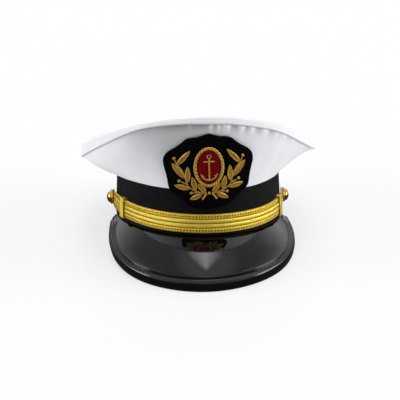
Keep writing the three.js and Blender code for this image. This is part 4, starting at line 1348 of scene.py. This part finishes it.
def make_knots():
    """The wreath's berries, and the tie where its stems meet."""
    for name, end in ENDS.items():
        for berry, ((x, y), _) in BERRIES.items():
            piece = make_knot(f"berry_{berry}_{name}_bullion", end.side * x, y, BERRY)
            finish(piece, f"berry_{berry}_{name}", BULLION)
    piece = make_knot("badge_tie_bullion", 0, STEM_ROUTE[0][1], TIE)
    finish(piece, "badge_tie", BULLION)


# A fluke's points, outwards and up from the end of its arm.
FLUKE = [(-2.4, 0.3), (0.1, 0.4), (0.9, 2.6)]


def make_anchor():
    """A plain upright anchor worked in padded wire: ring, stock, shank, arms and pointed flukes."""
    floor = ON_PATCH + OVAL.field_height + GAP
    half = ANCHOR.bar / 2
    top = ANCHOR.height / 2
    ring_middle = top - ANCHOR.ring_radius
    ring_radius = ANCHOR.ring_radius - ANCHOR.ring_inset
    turns = np.radians(np.linspace(0, 360, ANCHOR.ring_points))
    ring = [(ring_radius * np.sin(t), ring_middle + ring_radius * np.cos(t)) for t in turns]
    shank_top = ring_middle - ANCHOR.ring_radius + ANCHOR.bar_inset
    shank = [(0, -top + ANCHOR.bar_inset), (0, 0), (0, shank_top)]
    stock_height = top - ANCHOR.stock_drop + half
    stock = [(x, stock_height) for x in (-ANCHOR.stock_half, 0, ANCHOR.stock_half)]
    arm_middle = ANCHOR.arm_radius - half
    turns = np.radians(np.linspace(-ANCHOR.arm_reach, ANCHOR.arm_reach, ANCHOR.arm_points))
    arms = [(arm_middle * np.sin(t), ANCHOR.arm_radius - top - arm_middle * np.cos(t)) for t in turns]
    parts = [
        cord("ring", ring, ANCHOR.ring_wire, floor),
        cord("shank", shank, half, floor),
        cord("stock", stock, half, floor),
        cord("arms", arms, half, floor),
    ]
    tip_x, tip_y = arms[-1]
    for side in (-1, 1):
        fluke = [((tip_x + outwards) * side, tip_y + up) for outwards, up in FLUKE]
        parts.append(cord("fluke", fluke, ANCHOR.fluke_wire, floor))
    piece = join("badge_anchor_bullion", parts)
    finish(piece, "badge_anchor", BULLION)


# Camera, floor and light

WHITE_ROOM = (0.955, 0.965, 0.98, 1)
SKY_FRONT = (0.1, 0.1, 0.103, 1)
SKY_SIDE = (0.85, 0.85, 0.86, 1)
SKY_HIGH = (0.36, 0.36, 0.37, 1)
TABLE_FRONT = (0.46, 0.47, 0.48, 1)
TABLE_SIDE = (1.35, 1.35, 1.37, 1)
MIRRORED_TABLE = (0.06, 0.06, 0.065, 1)
CEILING_GLOW = (0.34, 0.34, 0.34)
CEILING_LAMP = (2.5, 2.5, 2.45)
SIDE_LAMP = (6, 6, 6)
# Where the room changes, by the parts of a ray's direction: X is to the side, Y back and Z up.
ROOM = Sizes(side_x=(0.3, 0.85), back_y=(0.15, 0.6), high_z=(0.3, 0.7), over_table_z=(-0.1, 0.2))
# Soft patches of light: their middles and their half sizes.
GLOWS = [
    Sizes(colour=CEILING_GLOW, x=0.08, y=-0.3, half_x=0.5, half_y=0.8),
    Sizes(colour=SIDE_LAMP, x=-0.95, y=-0.1, half_x=0.08, half_y=0.3),
    Sizes(colour=SIDE_LAMP, x=0.95, y=-0.1, half_x=0.09, half_y=0.45),
]
GLOW_EDGE = (1.0, 0.3)
GLOW_FROM_Z = (0.0, 0.1)
# A patch of the ceiling that narrows to a point towards the front.
WEDGE = Sizes(x=0.06, half=0.17, least=0.01, point_y=-0.42, wide_y=0.1, full_y=-0.22, edge=(1.2, 0.1))
FLOOR = Sizes(size=200, colour=(0.25, 0.25, 0.255, 1), glow=(0.97, 0.98, 1, 1), glow_strength=0.65)
# Soft lamps: each one's turn from the front towards +X, its height and its width, in degrees.
LAMPS = {
    "overhead": Sizes(turn=10, height=82, width=40, strength=0.85),
    "left": Sizes(turn=-95, height=18, width=55, strength=1.05),
    "right": Sizes(turn=88, height=18, width=55, strength=1.2),
}


def make_camera():
    turn, height, roll = (math.radians(a) for a in (VIEW.turn, VIEW.height, VIEW.roll))
    back = Vector((-math.sin(turn) * math.cos(height), -math.cos(turn) * math.cos(height), math.sin(height)))
    across = Vector((math.cos(turn), -math.sin(turn), 0))
    up = Vector((math.sin(turn) * math.sin(height), math.cos(turn) * math.sin(height), math.cos(height)))
    right = across * math.cos(roll) - up * math.sin(roll)
    top = across * math.sin(roll) + up * math.cos(roll)
    eye = Vector(VIEW.target) + back * VIEW.distance
    aim = Vector(VIEW.target) - top * VIEW.drop
    back = (eye - aim).normalized()
    top = back.cross(right)
    axes = Matrix((right, top, back)).transposed().to_4x4()
    bpy.ops.object.camera_add()
    camera = bpy.context.object
    camera.data.lens = VIEW.lens
    camera.data.clip_end = VIEW.far_end
    turned = PLACE.to_3x3().normalized().to_4x4() @ axes
    camera.matrix_world = Matrix.Translation(PLACE @ eye) @ turned
    bpy.context.scene.camera = camera


def make_room():
    """A room that the camera sees white: dim in front, brighter at the sides and behind, with lamps."""
    world = bpy.data.worlds.new("studio")
    bpy.context.scene.world = world
    world.use_nodes = True
    board = Board(world.node_tree)
    background = next(n for n in world.node_tree.nodes if n.type == "BACKGROUND")
    where = board.node("ShaderNodeTexCoord").outputs["Generated"]
    parts = board.node("ShaderNodeSeparateXYZ", {0: where}).outputs

    def between(value, low, high):
        inputs = {"Value": value, "From Min": low, "From Max": high}
        return board.node("ShaderNodeMapRange", inputs).outputs[0]

    def squared(value, middle, half):
        return board.math("POWER", board.math("DIVIDE", board.math("SUBTRACT", value, middle), half), 2.0)

    def glow(patch):
        far_x = squared(parts["X"], patch.x, patch.half_x)
        far_y = squared(parts["Y"], patch.y, patch.half_y)
        near = between(board.math("ADD", far_x, far_y), *GLOW_EDGE)
        return board.scaled(patch.colour, board.math("MULTIPLY", near, between(parts["Z"], *GLOW_FROM_Z)))

    def wedge(high):
        width = board.plus(WEDGE.least, between(parts["Y"], WEDGE.point_y, WEDGE.wide_y), WEDGE.half)
        away = board.math("ABSOLUTE", board.math("SUBTRACT", parts["X"], WEDGE.x))
        near = between(board.math("DIVIDE", away, width), *WEDGE.edge)
        near = board.math("MULTIPLY", near, between(parts["Y"], WEDGE.point_y, WEDGE.full_y))
        return board.scaled(CEILING_LAMP, board.math("MULTIPLY", near, high))

    aside = between(board.math("ABSOLUTE", parts["X"]), *ROOM.side_x)
    aside = board.math("MAXIMUM", aside, between(parts["Y"], *ROOM.back_y))
    high = between(parts["Z"], *ROOM.high_z)
    light = board.mix(high, board.mix(aside, SKY_FRONT, SKY_SIDE), SKY_HIGH)
    for patch in [*map(glow, GLOWS), wedge(high)]:
        light = board.node("ShaderNodeVectorMath", {0: light, 1: patch}, operation="ADD").outputs[0]
    path = board.node("ShaderNodeLightPath").outputs
    table = board.mix(path["Is Diffuse Ray"], MIRRORED_TABLE, board.mix(aside, TABLE_FRONT, TABLE_SIDE))
    light = board.mix(between(parts["Z"], *ROOM.over_table_z), table, light)
    board.set(background.inputs["Color"], board.mix(path["Is Camera Ray"], light, WHITE_ROOM))
    background.inputs["Strength"].default_value = 1.0


def make_lamps():
    for name, lamp in LAMPS.items():
        turn, height = math.radians(lamp.turn), math.radians(lamp.height)
        level = math.cos(height)
        back = Vector((math.sin(turn) * level, -math.cos(turn) * level, math.sin(height)))
        bpy.ops.object.light_add(type="SUN", location=back)
        light = bpy.context.object
        light.name = name
        light.data.angle = math.radians(lamp.width)
        light.data.energy = lamp.strength
        light.rotation_euler = back.to_track_quat("Z", "Y").to_euler()
        light.visible_glossy = False


def make_floor():
    deselect()
    bpy.ops.mesh.primitive_plane_add(size=FLOOR.size)
    floor = bpy.context.object
    floor.name = "floor"
    floor.visible_glossy = False
    floor.visible_diffuse = False
    material, _, _ = finish_of(
        "floor", Base_Color=FLOOR.colour, Roughness=0.9, Specular_IOR_Level=0.1,
        Emission_Color=FLOOR.glow, Emission_Strength=FLOOR.glow_strength,
    )
    floor.data.materials.append(material)


make_camera()
make_floor()
make_room()
make_lamps()
bpy.context.scene.view_settings.view_transform = "Standard"
make_band()
make_crown_walls()
make_crown_top()
make_peak()
make_peak_binding()
make_straps()
make_keepers()
make_buttons()
make_patch()
make_rope()
make_field()
make_anchor()
make_stems()
make_leaves()
make_knots()
